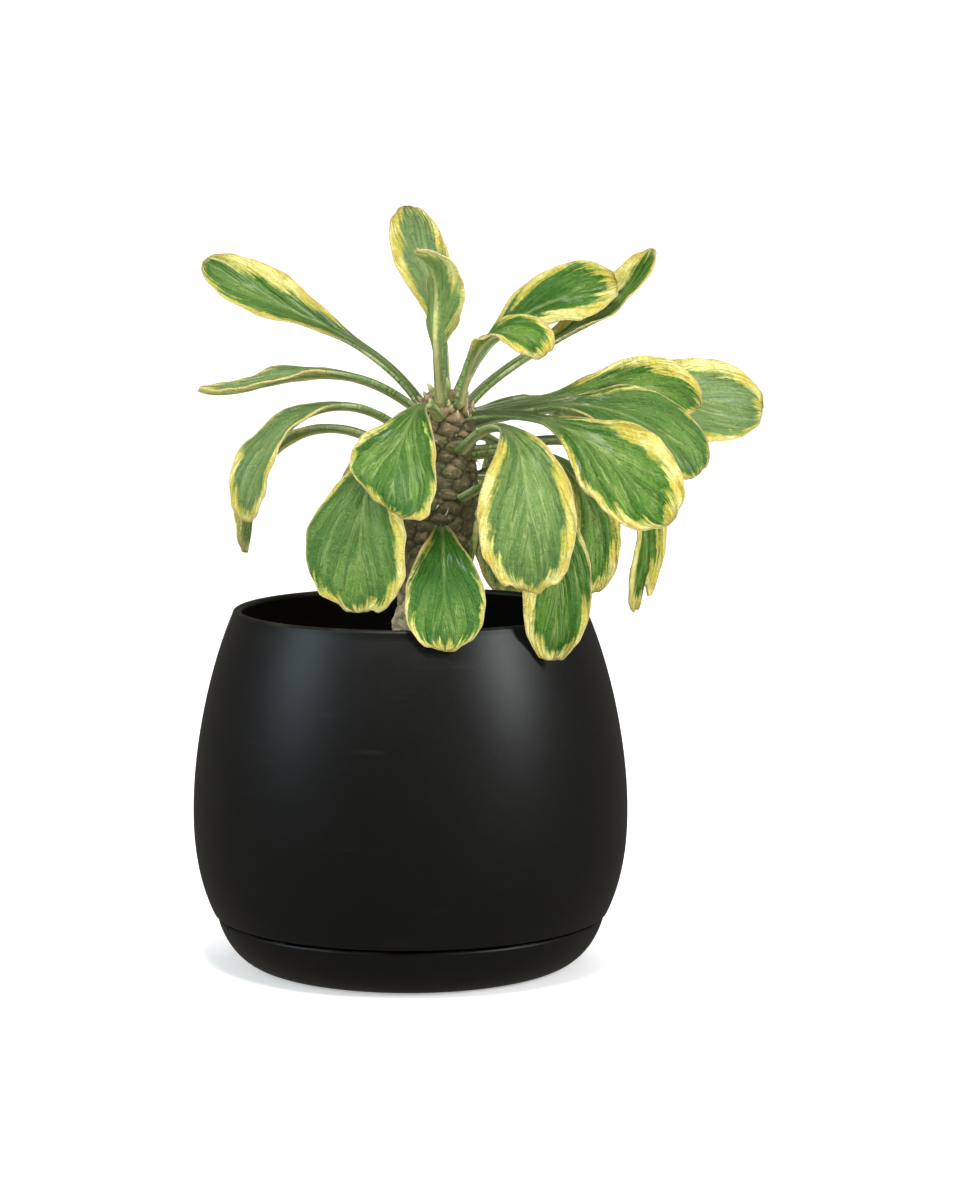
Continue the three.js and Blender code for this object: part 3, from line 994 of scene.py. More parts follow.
@dataclass(frozen=True)
class Stem:
    """The stout stem: a leaning trunk, knobbed in spirals, with buds at its crown. Millimetres."""

    pot: Pot = Pot()
    headspace: float = 27.0
    base_x: float = 9.8
    lean_x: float = 6.0
    above: float = 125.0
    buried: float = 34.0
    flare: float = 22.0
    waist: float = 14.9
    bulge: float = 17.4
    crown: float = 13.4
    tip: float = 8.0
    root: float = 9.0
    knob_rise: float = 0.54
    knob_lift: float = 1.9
    knobs_from: float = -16.0
    skin_from: float = -14.0
    dome: float = 2.6
    buds: int = 17
    bracts: int = 40
    spines: int = 46
    rings: int = 300
    sides: int = 200
    seed: int = 11

    @property
    def soil_top(self) -> float:
        """The height of the soil at the pot's wall."""
        return self.pot.height - self.headspace

    def outline(self, count: int) -> np.ndarray:
        """The stem's side.

        Args:
            count: How many points are wanted.

        Returns:
            Pairs of radius and height above the soil.
        """
        return spline(
            [
                (self.root, -self.buried),
                (self.flare * 0.9, -self.buried * 0.35),
                (self.flare, 0.0),
                (mix(self.flare, self.waist, 0.7), self.above * 0.26),
                (self.waist, self.above * 0.43),
                (self.bulge, self.above * 0.63),
                (mix(self.bulge, self.crown, 0.5), self.above * 0.8),
                (self.crown, self.above * 0.93),
                (self.tip, self.above),
            ],
            count,
        )

    def radius(self, height: Any) -> Any:
        """The radius at a height above the soil."""
        side = self.outline(17)
        return np.interp(height, side[:, 1], side[:, 0])

    def centre(self, height: Any) -> np.ndarray:
        """The stem's middle at a height.

        Args:
            height: The height above the soil, or several.

        Returns:
            The point, or a row of points.
        """
        share = np.maximum(0.0, np.asarray(height, float) / self.above)
        x = self.base_x + self.lean_x * share
        return np.stack([x, np.zeros_like(x), self.soil_top + np.asarray(height, float)], -1)

    def _knobs(self, angle: np.ndarray, height: np.ndarray) -> tuple[np.ndarray, np.ndarray]:
        """The spiral knobs, pressed against one another, and the leaf scar on each.

        Args:
            angle: The points' angles round the stem.
            height: Their heights above the soil.

        Returns:
            How far each point stands out, from 0 to 1, and how much of a scar it is.
        """
        rng = np.random.default_rng(self.seed)
        nearest = np.full_like(angle, 1e3)
        second = np.full_like(angle, 1e3)
        scar = np.zeros_like(angle)
        place = self.knobs_from
        index = 0
        while place < self.above + 2.0:
            turn = math.radians(GOLDEN_ANGLE * index) + rng.normal(0.0, 0.10)
            radius = float(self.radius(place))
            tilt = rng.normal(0.0, 0.14)
            broad = rng.uniform(1.5, 1.95)
            away = (angle - turn + math.pi) % math.tau - math.pi
            du = away * radius
            dv = height - place + du * tilt + 0.05 * np.abs(du)
            reach = np.hypot(du / broad, dv) * rng.uniform(0.88, 1.12)
            second = np.minimum(second, np.maximum(nearest, reach))
            nearest = np.minimum(nearest, reach)
            oval = np.hypot(du / 2.6, (dv - 1.0) / 1.1)
            scar = np.maximum(scar, rng.uniform(0.0, 1.0) * (1.0 - smooth(oval, 0.5, 1.1)))
            place += self.knob_rise * rng.uniform(0.8, 1.2) * 16.0 / radius
            index += 1
        round_off = 0.45 + 0.35 * smooth(height, 45.0, 10.0)
        pillow = smooth(second - nearest, -0.2, 2.3) * (1.0 - round_off * smooth(nearest, 0.0, 3.9))
        return pillow, scar

    def build(self, bench: Bench) -> None:
        """Builds and dresses the stem with its buds and spines.

        Args:
            bench: Where pieces become objects.
        """
        side = self.outline(self.rings * 2)
        side = side[side[:, 1] > self.skin_from]
        side = side[np.linspace(0, len(side) - 1, self.rings).astype(int)]
        angles = np.linspace(0.0, math.tau, self.sides, endpoint=False)
        height, angle = np.meshgrid(side[:, 1], angles, indexing="ij")
        round_by = angle / math.tau
        drift = 1.1 * ripple(round_by * 4 + height / 17, 0.15) + 0.5 * ripple(height / 5, 0.45)
        twist = 0.07 * ripple(round_by * 3 - height / 13, 0.85)
        stand, scar = self._knobs(angle + twist, height + drift)
        wrinkles = ripple(height / 4.3 + 0.8 * ripple(round_by * 3 + height / 30, 0.25), 0.5)
        lumps = ripple(round_by * 3 + height / 60, 0.3) * ripple(height / 24, 0.7)
        foot = smooth(height, 40.0, 0.0)
        end = smooth(height, self.above - 1.0, self.above - 12.0)
        strong = 0.42 + 0.42 * foot + 0.5 * smooth(height, 88.0, 108.0)
        lift = (stand - 0.6) * self.knob_lift * strong - scar * 0.3 + wrinkles * 0.28
        out = side[:, 0:1] + lift * end + lumps * (0.5 + 1.2 * foot)
        centre = self.centre(height)
        x = centre[..., 0] + np.cos(angle) * out
        y = centre[..., 1] + np.sin(angle) * out
        points = np.stack([x, y, centre[..., 2]], -1).reshape(-1, 3)
        bark = np.stack([height / self.above, scar, stand], -1).reshape(-1, 3)
        dome = self._dome(points[-self.sides:])
        points = np.vstack([points, dome])
        count = self.rings + len(dome) // self.sides
        last = np.tile(np.array([[1.0, 0.3, 0.6]]), (len(dome), 1))
        faces = tube_faces(count, self.sides)
        shape = Shape(points, faces, {"bark": np.vstack([bark, last])})
        bench.piece("stem_scarred", shape, Finish.BARK, "stem")
        bench.piece("crown_buds", self._buds(), Finish.BUD)
        bench.piece("crown_bracts", self._bracts(), Finish.BRACT)
        bench.piece("stem_spines", self._spines(), Finish.SPINE)

    def _dome(self, edge: np.ndarray) -> np.ndarray:
        """Rings that close the stem's tip in a low dome.

        Args:
            edge: The last ring of the skin.

        Returns:
            The points of the rings.
        """
        middle = edge.mean(0)
        rings = []
        for turn in np.linspace(0.0, math.pi / 2, 7)[1:]:
            share = max(math.cos(turn), 0.03)
            ring = middle + (edge - middle) * share
            ring[:, 2] = edge[:, 2] + self.dome * math.sin(turn)
            rings.append(ring)
        return np.vstack(rings)

    def _buds(self) -> Shape:
        """Small pointed leaf buds round the stem's tip.

        Returns:
            All the buds as one shape.
        """
        rng = np.random.default_rng(self.seed + 1)
        shapes = []
        for index in range(self.buds):
            turn = math.radians(GOLDEN_ANGLE * index + 20.0)
            out = 0.8 + 2.05 * math.sqrt(index)
            height = self.above + 1.6 - 0.10 * out * out
            base = self.centre(min(height, self.above))
            base[2] = self.soil_top + height
            base[:2] += np.array([math.cos(turn), math.sin(turn)]) * out
            lean = 0.12 + out * 0.075
            axis = np.array([math.cos(turn) * lean, math.sin(turn) * lean, 1.0])
            long = rng.uniform(5.5, 8.5) * (1.0 - 0.02 * index)
            thick = rng.uniform(1.3, 2.1)
            shapes.append(self._spindle(base, axis, long, thick, 0.12, index * 0.37))
        return Shape.joined(shapes)

    def _bracts(self) -> Shape:
        """Dry scales that clasp the leaf bases round the crown.

        Returns:
            All the scales as one shape.
        """
        rng = np.random.default_rng(self.seed + 3)
        shapes = []
        for index in range(self.bracts):
            turn = math.radians(GOLDEN_ANGLE * index + 55.0)
            height = self.above - 14.0 + 13.5 * index / (self.bracts - 1) + rng.uniform(-1.0, 1.0)
            outward = np.array([math.cos(turn), math.sin(turn), 0.0])
            base = self.centre(height) + outward * (float(self.radius(height)) - 1.4)
            axis = outward * rng.uniform(0.35, 0.8) + np.array([0.0, 0.0, 1.0])
            long, thick = rng.uniform(3.6, 6.4), rng.uniform(1.3, 2.2)
            shapes.append(self._spindle(base, axis, long, thick, -0.15, index * 0.53))
        return Shape.joined(shapes)

    @staticmethod
    def _spindle(
        base: np.ndarray, axis: np.ndarray, long: float, thick: float, bend: float, seed: float
    ) -> Shape:
        """A pointed, slightly bent solid, as a bud or a spine is.

        Args:
            base: Where it stands.
            axis: The way it points.
            long: Its length.
            thick: Its greatest radius.
            bend: How far it curls, as a share of its length.
            seed: Which way it curls.

        Returns:
            The shape, which carries its share of length as the vector bud.
        """
        axis = axis / np.linalg.norm(axis)
        side = np.cross(axis, [0.3, 0.9, 0.2])
        side /= np.linalg.norm(side)
        other = np.cross(axis, side)
        around = np.linspace(0.0, math.tau, 10, endpoint=False)
        curl = math.cos(seed * 9.0) * side + math.sin(seed * 9.0) * other
        shares = np.linspace(0.0, 1.0, 11)
        rings = []
        for share in shares:
            wide = thick * (0.55 + 1.1 * share) if share < 0.35 else thick * 0.94
            wide *= max(1.0 - max(share - 0.3, 0.0) / 0.7, 0.0) ** 0.75 + 0.02
            middle = base + axis * long * share + curl * long * bend * share * share
            circle = np.cos(around)[:, None] * side + np.sin(around)[:, None] * other
            rings.append(middle + circle * wide)
        faces = tube_faces(len(shares), len(around))
        carried = np.repeat(shares, len(around))[:, None] * np.ones(3)
        return Shape(np.vstack(rings), faces, {"bud": carried})

    def _spines(self) -> Shape:
        """Thin curled stipules that stand between the upper knobs.

        Returns:
            All the spines as one shape.
        """
        rng = np.random.default_rng(self.seed + 2)
        shapes = []
        for index in range(self.spines):
            turn = rng.uniform(0.0, math.tau)
            height = self.above - 4.0 - 52.0 * rng.uniform(0.0, 1.0) ** 1.5
            outward = np.array([math.cos(turn), math.sin(turn), 0.0])
            base = self.centre(height) + outward * (float(self.radius(height)) - 0.2)
            sideways = np.array([-math.sin(turn), math.cos(turn), 0.0]) * rng.normal(0.0, 0.7)
            axis = outward * 0.9 + sideways + np.array([0.0, 0.0, rng.uniform(-0.3, 0.9)])
            long, curl, thick = rng.uniform(4.0, 8.5), rng.uniform(0.2, 0.6), rng.uniform(0.3, 0.45)
            shapes.append(self._spindle(base, axis, long, thick, curl, index * 0.71))
        return Shape.joined(shapes)


# ---- Soil -----------------------------------------------------------------------------------


@dataclass(frozen=True)
class Soil:
    """The loose potting mix that fills the pot round the stem. Millimetres."""

    stem: Stem = Stem()
    mound: float = 3.0
    depth: float = 24.0
    gap: float = 0.4
    rings: int = 60
    sides: int = 150
    grains: int = 620
    pumice_share: float = 0.16
    seed: int = 5

    def level(self, x: Any, y: Any) -> Any:
        """The soil's height at a place, with its lumps.

        Args:
            x: The place, to the right.
            y: The place, to the back.

        Returns:
            The height.
        """
        away = np.hypot(x - self.stem.base_x, y)
        mound = self.mound * (1.0 - smooth(away, self.stem.flare, 60.0))
        lumps = ripple(x / 46 + y / 90, 0.2) + ripple(y / 38 - x / 80, 0.6)
        lumps = lumps + 0.6 * ripple(x / 15, 0.9)
        return self.stem.soil_top + mound + 0.7 * lumps + 0.35 * ripple(y / 9 + x / 14, 0.4)

    def build(self, bench: Bench) -> None:
        """Builds and dresses the soil and its loose grains.

        Args:
            bench: Where pieces become objects.
        """
        pot = self.stem.pot
        edge = pot.inside_radius(self.stem.soil_top) - self.gap
        deep = self.stem.soil_top - self.depth
        bottom = pot.inside_radius(deep) - self.gap
        angle = np.linspace(0.0, math.tau, self.sides, endpoint=False)
        radii = edge * (np.arange(self.rings) / (self.rings - 1)) ** 0.8
        radii[0] = 0.4
        radius, turn = np.meshgrid(radii[::-1], angle, indexing="ij")
        x, y = radius * np.cos(turn), radius * np.sin(turn)
        top = np.stack([x, y, self.level(x, y)], -1).reshape(-1, 3)
        foot = np.stack([bottom * np.cos(angle), bottom * np.sin(angle), angle * 0 + deep], -1)
        points = np.vstack([foot, top])
        faces = tube_faces(self.rings + 1, self.sides)
        bed = Shape(points, faces, {"grain": np.zeros((len(points), 3))})
        bench.piece("soil_bed", bed, Finish.SOIL, "soil")
        bench.piece("soil_grains", self._grains(edge), Finish.SOIL)

    def _grains(self, edge: float) -> Shape:
        """Loose bits of bark and pumice that lie on the soil.

        Args:
            edge: How far out the soil reaches.

        Returns:
            All the grains as one shape.
        """
        rng = np.random.default_rng(self.seed)
        ball, faces = self._pebble()
        shapes = []
        while len(shapes) < self.grains:
            away, turn = (edge - 3.0) * math.sqrt(rng.uniform()), rng.uniform(0.0, math.tau)
            x, y = away * math.cos(turn), away * math.sin(turn)
            if math.hypot(x - self.stem.base_x, y) < self.stem.flare + 1.0:
                continue
            size = rng.uniform(0.7, 2.2)
            pumice = rng.uniform() < self.pumice_share
            flat = rng.uniform(0.6, 0.9) if pumice else rng.uniform(0.25, 0.6)
            knobby = ball * (1.0 + rng.uniform(-0.3, 0.22, (len(ball), 1)))
            spin = rng.uniform(0.0, math.tau)
            cos, sin = math.cos(spin), math.sin(spin)
            stretch = np.array([size * rng.uniform(1.0, 1.7), size, size * flat])
            grain = knobby * stretch @ np.array([[cos, sin, 0], [-sin, cos, 0], [0, 0, 1.0]])
            grain += np.array([x, y, self.level(x, y) + size * flat * 0.35])
            shade = rng.uniform(0.7, 1.0) if pumice else rng.uniform(0.0, 0.5)
            shapes.append(Shape(grain, faces, {"grain": np.full((len(ball), 3), shade)}))
        return Shape.joined(shapes)

    @staticmethod
    def _pebble() -> tuple[np.ndarray, list[tuple[int, ...]]]:
        """A round solid of five rings, which grains are knocked out of.

        Returns:
            Its points and its faces.
        """
        rows, columns = 5, 8
        points = []
        for row in range(rows):
            polar = math.pi * (row + 0.5) / rows
            for column in range(columns):
                turn = math.tau * column / columns
                ring = math.sin(polar)
                points.append((ring * math.cos(turn), ring * math.sin(turn), -math.cos(polar)))
        return np.array(points), tube_faces(rows, columns)


# ---- Leaves ---------------------------------------------------------------------------------


@dataclass(frozen=True)
class Growth:
    """What all the leaves share. Millimetres, and shares of a leaf's length."""

    petiole_half: float = 2.2
    petiole_thick: float = 3.4
    petiole_edge: float = 2.0
    stand_off: float = 1.5
    rooted: float = 5.0
    clasp: float = 3.0
    clasps: tuple[float, ...] = (1.0, 0.7, 0.35)
    blade_thick: float = 1.5
    margin_thick: float = 0.8
    petiole_share: float = 0.3
    thin_from: float = 0.2
    thin_by: float = 0.6
    walk: int = 120
    rows: int = 96
    across: int = 37
    wave: float = 1.5


@dataclass(frozen=True)
class Leaf:
    """One leaf: where it leaves the stem, how its midrib runs, its blade, and its yellow.

    Attributes:
        below: Distance under the stem's tip where it leaves.
        turn: The way it heads, in degrees from +X.
        swing: How far the heading has turned at the tip.
        rise: The midrib's slope at the base, a third, two thirds and the tip.
        roll: The turn about the midrib at the base and the tip.
        length: Along the midrib.
        width: At the widest.
        fold: How far each half of the blade lifts, in degrees.
        cup: Curl of the margins as a share of the half width.
        yellow: The margin's width on the blade's plus side, its minus side and at the tip.
        widest: Where it is widest, as a share of its length.
        flare: How slowly the petiole turns into blade.
        blunt: How blunt the blade's end is.
        clears: For a leaf outside the pot, the least air between its midrib and the pot.
        follows: A leaf that pushes this one out as far as itself.
        ragged: How deep the tip is torn.
        skew: How much further the plus side reaches at the tip than the minus side.
        scallop: How wavy the tip's outline is.
        grey_and_shade: How grey its green is, partly a painted sheen, and how much painted shade
            darkens it.
    """

    below: float
    turn: float
    swing: float
    rise: tuple[float, float, float, float]
    roll: tuple[float, float]
    length: float
    width: float
    fold: float
    cup: float
    yellow: tuple[float, float, float]
    widest: float = 0.74
    flare: float = 1.7
    blunt: float = 2.3
    clears: float = 0.0
    follows: str = ""
    ragged: float = 0.0
    skew: float = 0.0
    scallop: float = 0.7
    grey_and_shade: tuple[float, float] = (0.0, 0.10)


LEAVES: dict[str, Leaf] = {
    "leaf_upright_back": Leaf(
        2, 92, 72, (84, 72, 66, 72), (0, -70), 92, 25, 10, 0.1, (5, 3, 2),
        grey_and_shade=(0.5, 0.0),
    ),
    "leaf_upright_front": Leaf(
        2.5, -97, -66, (84, 85, 88, 8), (0, 0), 73, 27, 16, 0.1, (3.5, 2, 3), widest=0.64
    ),
    "leaf_right_upper": Leaf(
        1.5, 54, -54, (61, 38, 20, 10), (30, 65), 102, 30, 8, 0.1, (3.5, 9.5, 5),
        grey_and_shade=(0.0, 0.9),
    ),
    "leaf_right_curled": Leaf(
        3, -54, 30, (72, 56, 0, -60), (0, 30), 70, 28, 8, 0.1, (2.5, 5, 5)
    ),
    "leaf_right_tall": Leaf(
        5, 36, -10, (42, 25, 30, 68), (10, 20), 126, 25, 18, 0.12, (9, 1.2, 3)
    ),
    "leaf_right_high": Leaf(8, 9, 0, (16, 8, 2, -50), (30, 60), 108, 30, 6, 0.08, (5, 2, 1.5)),
    "leaf_right_long": Leaf(
        13, 22, 0, (12, 4, -2, -14), (40, 70), 148, 42, 5, 0.06, (7, 4.5, 3),
        grey_and_shade=(0.4, 0.15),
    ),
    "leaf_right_middle": Leaf(
        10, -8, 0, (14, 2, -26, -66), (30, 50), 113, 36, 6, 0.08, (0.8, 2.5, 2),
        grey_and_shade=(0.1, 0.6),
    ),
    "leaf_right_broad": Leaf(
        9, -30, 0, (10, -14, -38, -44), (30, 55), 116, 42, 6, 0.08, (6.5, 4, 4)
    ),
    "leaf_front_right": Leaf(
        23, -56, -32, (34, -12, -76, -88), (0, 24), 128, 43, 8, 0.1, (5, 7, 3),
        blunt=2.9, follows="leaf_front_right_low", skew=4.0, scallop=1.5, grey_and_shade=(0.2, 0.0),
    ),
    "leaf_front_right_low": Leaf(
        44, -53, 0, (24, -18, -84, -88), (10, 42), 132, 30, 8, 0.08, (1.2, 6.5, 5), clears=5.4
    ),
    "leaf_right_hanging": Leaf(
        26, -20, 0, (10, -24, -82, -90), (0, 50), 106, 28, 10, 0.1, (4, 5, 7)
    ),
    "leaf_right_hanging_outer": Leaf(
        24, -1, 0, (4, -14, -80, -92), (0, 60), 138, 21, 16, 0.1, (4, 5, 7), ragged=9.0
    ),
    # painted shadow: full painted shade on its upper part, where the leaves above shade it
    "leaf_front_low": Leaf(
        72, -87, 0, (30, 6, -60, -64), (0, 0), 110, 35, 6, 0.08, (1.3, 2.2, 3.2),
        widest=0.82, flare=2.6, clears=2.4, grey_and_shade=(0.0, 1.0),
    ),
    "leaf_front_left": Leaf(
        8, -100, -20, (24, -10, -58, -74), (0, 0), 98, 44, 4, 0.05, (3, 2.5, 1.6),
        widest=0.84, blunt=3.0, skew=20.0,
    ),
    "leaf_front_left_low": Leaf(
        22, -118.5, 0, (25, -30, -82, -88), (0, 0), 116, 50, 6, 0.06, (5.5, 1.6, 5),
        blunt=2.8, scallop=1.4, grey_and_shade=(0.1, 0.5),
    ),
    "leaf_left_arching": Leaf(
        18, -160, 0, (46, -2, -54, -84), (0, -20), 112, 30, 10, 0.1, (4.5, 1.6, 5),
        grey_and_shade=(0.35, 0.1),
    ),
    "leaf_left_arching_back": Leaf(
        28, 170, 0, (32, -4, -64, -76), (0, 0), 117, 26, 16, 0.1, (4, 3, 6),
        grey_and_shade=(0.3, 0.0),
    ),
    "leaf_left_level": Leaf(
        5, 184, 0, (36, 9, -15, 22), (0, -14), 103, 20, 14, 0.12, (3, 1, 5),
        widest=0.68, blunt=1.6, grey_and_shade=(0.6, 0.0), scallop=0.2,
    ),
    "leaf_left_upper": Leaf(
        3, 162, 0, (54, 29, 24, 34), (-20, -55), 124, 27, 10, 0.1, (2.5, 6.5, 1.5),
        blunt=2.0, grey_and_shade=(0.1, 0.25), scallop=0.3,
    ),
    "leaf_back_left": Leaf(22, 112, 0, (20, -20, -80, -88), (0, 0), 130, 38, 6, 0.06, (4, 5, 5)),
    "leaf_back_left_inner": Leaf(
        14, 140, 0, (20, -50, -84, -88), (0, 0), 78, 22, 6, 0.08, (3, 3, 4)
    ),
    "leaf_back_middle": Leaf(34, 88, 0, (24, -20, -80, -88), (0, 0), 118, 28, 8, 0.08, (5, 2, 4)),
    "leaf_back_right": Leaf(26, 68, 0, (20, -24, -82, -88), (0, 0), 132, 40, 6, 0.08, (3, 6, 5)),
    "leaf_back_right_high": Leaf(
        10, 44, 0, (14, 0, -40, -60), (0, 0), 106, 36, 6, 0.08, (5, 4, 3)
    ),
    "leaf_back_right_low": Leaf(
        38, 38, 0, (16, -20, -80, -88), (0, 0), 112, 34, 6, 0.08, (4, 6, 5)
    ),
}


@dataclass(frozen=True)
class Foliage:
    """All the leaves, grown from the stem."""

    stem: Stem = Stem()
    growth: Growth = Growth()

    def build(self, bench: Bench) -> None:
        """Builds and dresses every leaf, and logs how well it fills its CAD node's box.

        Args:
            bench: Where pieces become objects.
        """
        for index, (name, leaf) in enumerate(LEAVES.items()):
            shape = self.blade(leaf, index + 1.0)
            made = bench.piece(name.replace("leaf_", "blade_"), shape, Finish.LEAF, name)
            low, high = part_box(name)
            reach = np.array([low, high]) / MM
            mine = np.array([shape.points.min(0), shape.points.max(0)])
            apart = (mine - reach).round(1).tolist()
            LOG.info("%s differs from its CAD box by %s mm", made.name, apart)

    def _slope(self, leaf: Leaf, share: np.ndarray) -> np.ndarray:
        """The midrib's slope, smooth through the leaf's four values.

        Args:
            leaf: The leaf.
            share: Shares of its length.

        Returns:
            The slopes in radians.
        """
        x = share * 3.0
        a, b, c, d = leaf.rise
        wa = (x - 1) * (x - 2) * (x - 3) / -6
        wb = x * (x - 2) * (x - 3) / 2
        wc = x * (x - 1) * (x - 3) / -2
        wd = x * (x - 1) * (x - 2) / 6
        return np.radians(a * wa + b * wb + c * wc + d * wd)

    def _frames(self, leaf: Leaf, share: np.ndarray) -> tuple[np.ndarray, np.ndarray, np.ndarray]:
        """The midrib's direction, the blade's sideways and its up, at shares of the length.

        Args:
            leaf: The leaf.
            share: Shares of its length.

        Returns:
            Three rows of unit vectors.
        """
        heading = np.radians(leaf.turn + leaf.swing * share)
        slope = self._slope(leaf, share)
        flat = np.cos(slope)
        way = np.stack([flat * np.cos(heading), flat * np.sin(heading), np.sin(slope)], -1)
        plain = np.stack([-np.sin(heading), np.cos(heading), np.zeros_like(share)], -1)
        roll = np.radians(mix(leaf.roll[0], leaf.roll[1], share))[:, None]
        side = plain * np.cos(roll) + np.cross(way, plain) * np.sin(roll)
        return way, side, np.cross(way, side)

    def _walk(self, leaf: Leaf, reach: float) -> np.ndarray:
        """The midrib's points at even shares of the length.

        Args:
            leaf: The leaf.
            reach: How much further the petiole reaches than its own shape does, as a factor.

        Returns:
            The points.
        """
        count = self.growth.walk
        share = np.arange(count + 1) / count
        way = self._frames(leaf, share)[0]
        out = np.where(share < self.growth.petiole_share - 1e-9, reach, 1.0)
        steps = way * np.stack([out, out, np.ones_like(out)], -1) * leaf.length / count
        height = self.stem.above - leaf.below
        turn = math.radians(leaf.turn)
        outward = np.array([math.cos(turn), math.sin(turn), 0.0])
        start = self.stem.centre(height) + outward * (
            float(self.stem.radius(height)) + self.growth.stand_off
        )
        return start + np.vstack([np.zeros(3), np.cumsum(steps[:-1], 0)])

    def _pushed_out(self, leaf: Leaf) -> float:
        """How much further out a leaf reaches than its own shape, to hang clear of the pot.

        Args:
            leaf: The leaf.

        Returns:
            The distance in millimetres.
        """
        if leaf.follows:
            return self._pushed_out(LEAVES[leaf.follows])
        if not leaf.clears:
            return 0.0
        pot = self.stem.pot
        path = self._walk(leaf, 1.0)
        outside = path[path[:, 2] < pot.height]
        lacks = [pot.side(z) + leaf.clears - math.hypot(x, y) for x, y, z in outside]
        return max(lacks)

    def midrib(self, leaf: Leaf) -> np.ndarray:
        """The midrib's points, its petiole reaching as far as it has to.

        Args:
            leaf: The leaf.

        Returns:
            The points.
        """
        plain = self._walk(leaf, 1.0)
        blade = plain[int(round(self.growth.walk * self.growth.petiole_share))]
        petiole = math.hypot(*(blade - plain[0])[:2])
        return self._walk(leaf, 1.0 + self._pushed_out(leaf) / petiole)

    def half_width(self, leaf: Leaf, share: np.ndarray) -> np.ndarray:
        """Half the leaf's width: a slim petiole, then a spoon-shaped blade.

        Args:
            leaf: The leaf.
            share: Shares of its length.

        Returns:
            The half widths.
        """
        slim, half = self.growth.petiole_half, leaf.width / 2
        start = self.growth.petiole_share
        grown = np.clip((share - start) / (leaf.widest - start), 0.0, 1.0)
        spoon = mix(slim, half, np.sin(math.pi / 2 * grown) ** leaf.flare)
        ended = np.clip((share - leaf.widest) / (1.0 - leaf.widest), 0.0, 1.0)
        return np.where(share < leaf.widest, spoon, half * np.sqrt(1.0 - ended ** leaf.blunt))

    def _edge_distance(self, leaf: Leaf, x: np.ndarray, y: np.ndarray) -> np.ndarray:
        """How far points of the flattened blade are from its outline.

        Args:
            leaf: The leaf.
            x: Distance along.
            y: Distance across.

        Returns:
            The distances in millimetres.
        """
        share = 1.0 - (1.0 - np.linspace(0.0, 1.0, 260)) ** 2
        half = self.half_width(leaf, share)
        rim_x, rim_y = np.tile(share * leaf.length, 2), np.concatenate([half, -half])
        flat_x, flat_y = x.ravel()[:, None], y.ravel()[:, None]
        return np.hypot(flat_x - rim_x, flat_y - rim_y).min(1).reshape(x.shape)

    def blade(self, leaf: Leaf, seed: float) -> Shape:
        """The leaf's closed mesh, wavy at its margins, with what its finish reads.

        Args:
            leaf: The leaf.
            seed: A number of its own, for its waves and its pattern.

        Returns:
            The shape.
        """
        g = self.growth
        u = np.linspace(0.0, 1.0, g.rows)
        share = mix(u, 1.0 - (1.0 - u) ** 2, 0.8)
        share[-1] = 0.9998
        path = self.midrib(leaf)
        evenly = np.arange(g.walk + 1) / g.walk
        place = np.stack([np.interp(share, evenly, path[:, k]) for k in range(3)], -1)
        way, side, up = self._frames(leaf, share)
        half = self.half_width(leaf, share)

        lateral = np.sin(np.linspace(-math.pi / 2, math.pi / 2, g.across))
        t = np.concatenate([lateral, [1.0], lateral[::-1], [-1.0]])
        deep = np.concatenate([0 * lateral, [0.5], 0 * lateral + 1.0, [0.5]])
        bulge = np.concatenate([0 * lateral, [1.0], 0 * lateral, [1.0]])
        s, tt = np.meshgrid(share, t, indexing="ij")
        depth = np.broadcast_to(deep, s.shape)

        bladed = smooth(s, g.petiole_share, 0.55)
        spread = smooth(s, g.thin_from, g.thin_by)
        rim_thick = mix(g.petiole_edge, g.margin_thick, spread)
        thick = mix(mix(g.petiole_thick, g.blade_thick, spread), rim_thick, tt * tt)
        wide = half[:, None] * (1.0 + bladed * 0.035 * ripple(s * 3.0 + np.sign(tt) * 0.37, seed))
        wide = wide * (1.0 + 0.22 * np.exp(-s * leaf.length / 4.0))

        fold = math.radians(leaf.fold)
        lift = half[:, None] * (np.abs(tt) * math.sin(fold) + leaf.cup * tt * tt)
        sides = ripple(s * 2.6 + np.sign(tt) * 0.21 + 0.1, seed + 0.5, (1.0, 1.9, 3.3))
        strong = np.minimum(half[:, None] / 14.0, 1.2)
        lift = lift + bladed * g.wave * np.abs(tt) ** 3 * sides * strong
        lift = lift + bladed * 0.5 * ripple(s * 1.7 + tt * 0.8, seed + 0.8)
        channel = np.exp(-((tt * half[:, None]) / 1.3) ** 2)
        fading = 1.0 - smooth(s, 0.45, 0.97)
        lift = lift - (1.0 - depth) * channel * mix(0.15, 0.55, fading)
        under = depth * channel * fading * smooth(s, 0.25, 0.5)
        puckers = ripple(self._line(s, tt) * 4.2 + tt * 0.3, seed + 0.15) * 0.42
        lift = lift + bladed * puckers * np.abs(tt) ** 0.6

        out = bulge * 0.35 * rim_thick
        points = (
            place[:, None, :]
            + side[:, None, :] * ((wide * tt * math.cos(fold) + np.sign(tt) * out)[..., None])
            + up[:, None, :] * ((lift - depth * thick - under)[..., None])
        )
        place_y = tt * half[:, None] / (leaf.width / 2)
        ending = smooth(s, 0.80, 1.0)
        torn = leaf.ragged * ending * np.maximum(ripple(place_y * 0.8, seed + 0.2), -0.2)
        scallops = leaf.scallop * ripple(place_y * 1.5, seed + 0.6, (1.0, 1.7, 2.9)) * ending
        slant = leaf.skew * (0.5 * place_y - 0.25) * smooth(s, 0.45, 1.0)
        points = points + way[:, None, :] * (scallops + slant - torn)[..., None]
        turn = math.radians(leaf.turn)
        inward = np.array([math.cos(turn), math.sin(turn), 0.0]) * -g.rooted
        clasps = [points[0] + inward * k * k - way[0] * g.clasp * k for k in g.clasps]
        points = np.vstack([np.stack(clasps), points])

        carried = self._carried(leaf, seed, s, tt, depth, half)
        faces = [face[::-1] for face in tube_faces(g.rows + len(clasps), len(t))]
        return Shape(points.reshape(-1, 3), faces, carried)

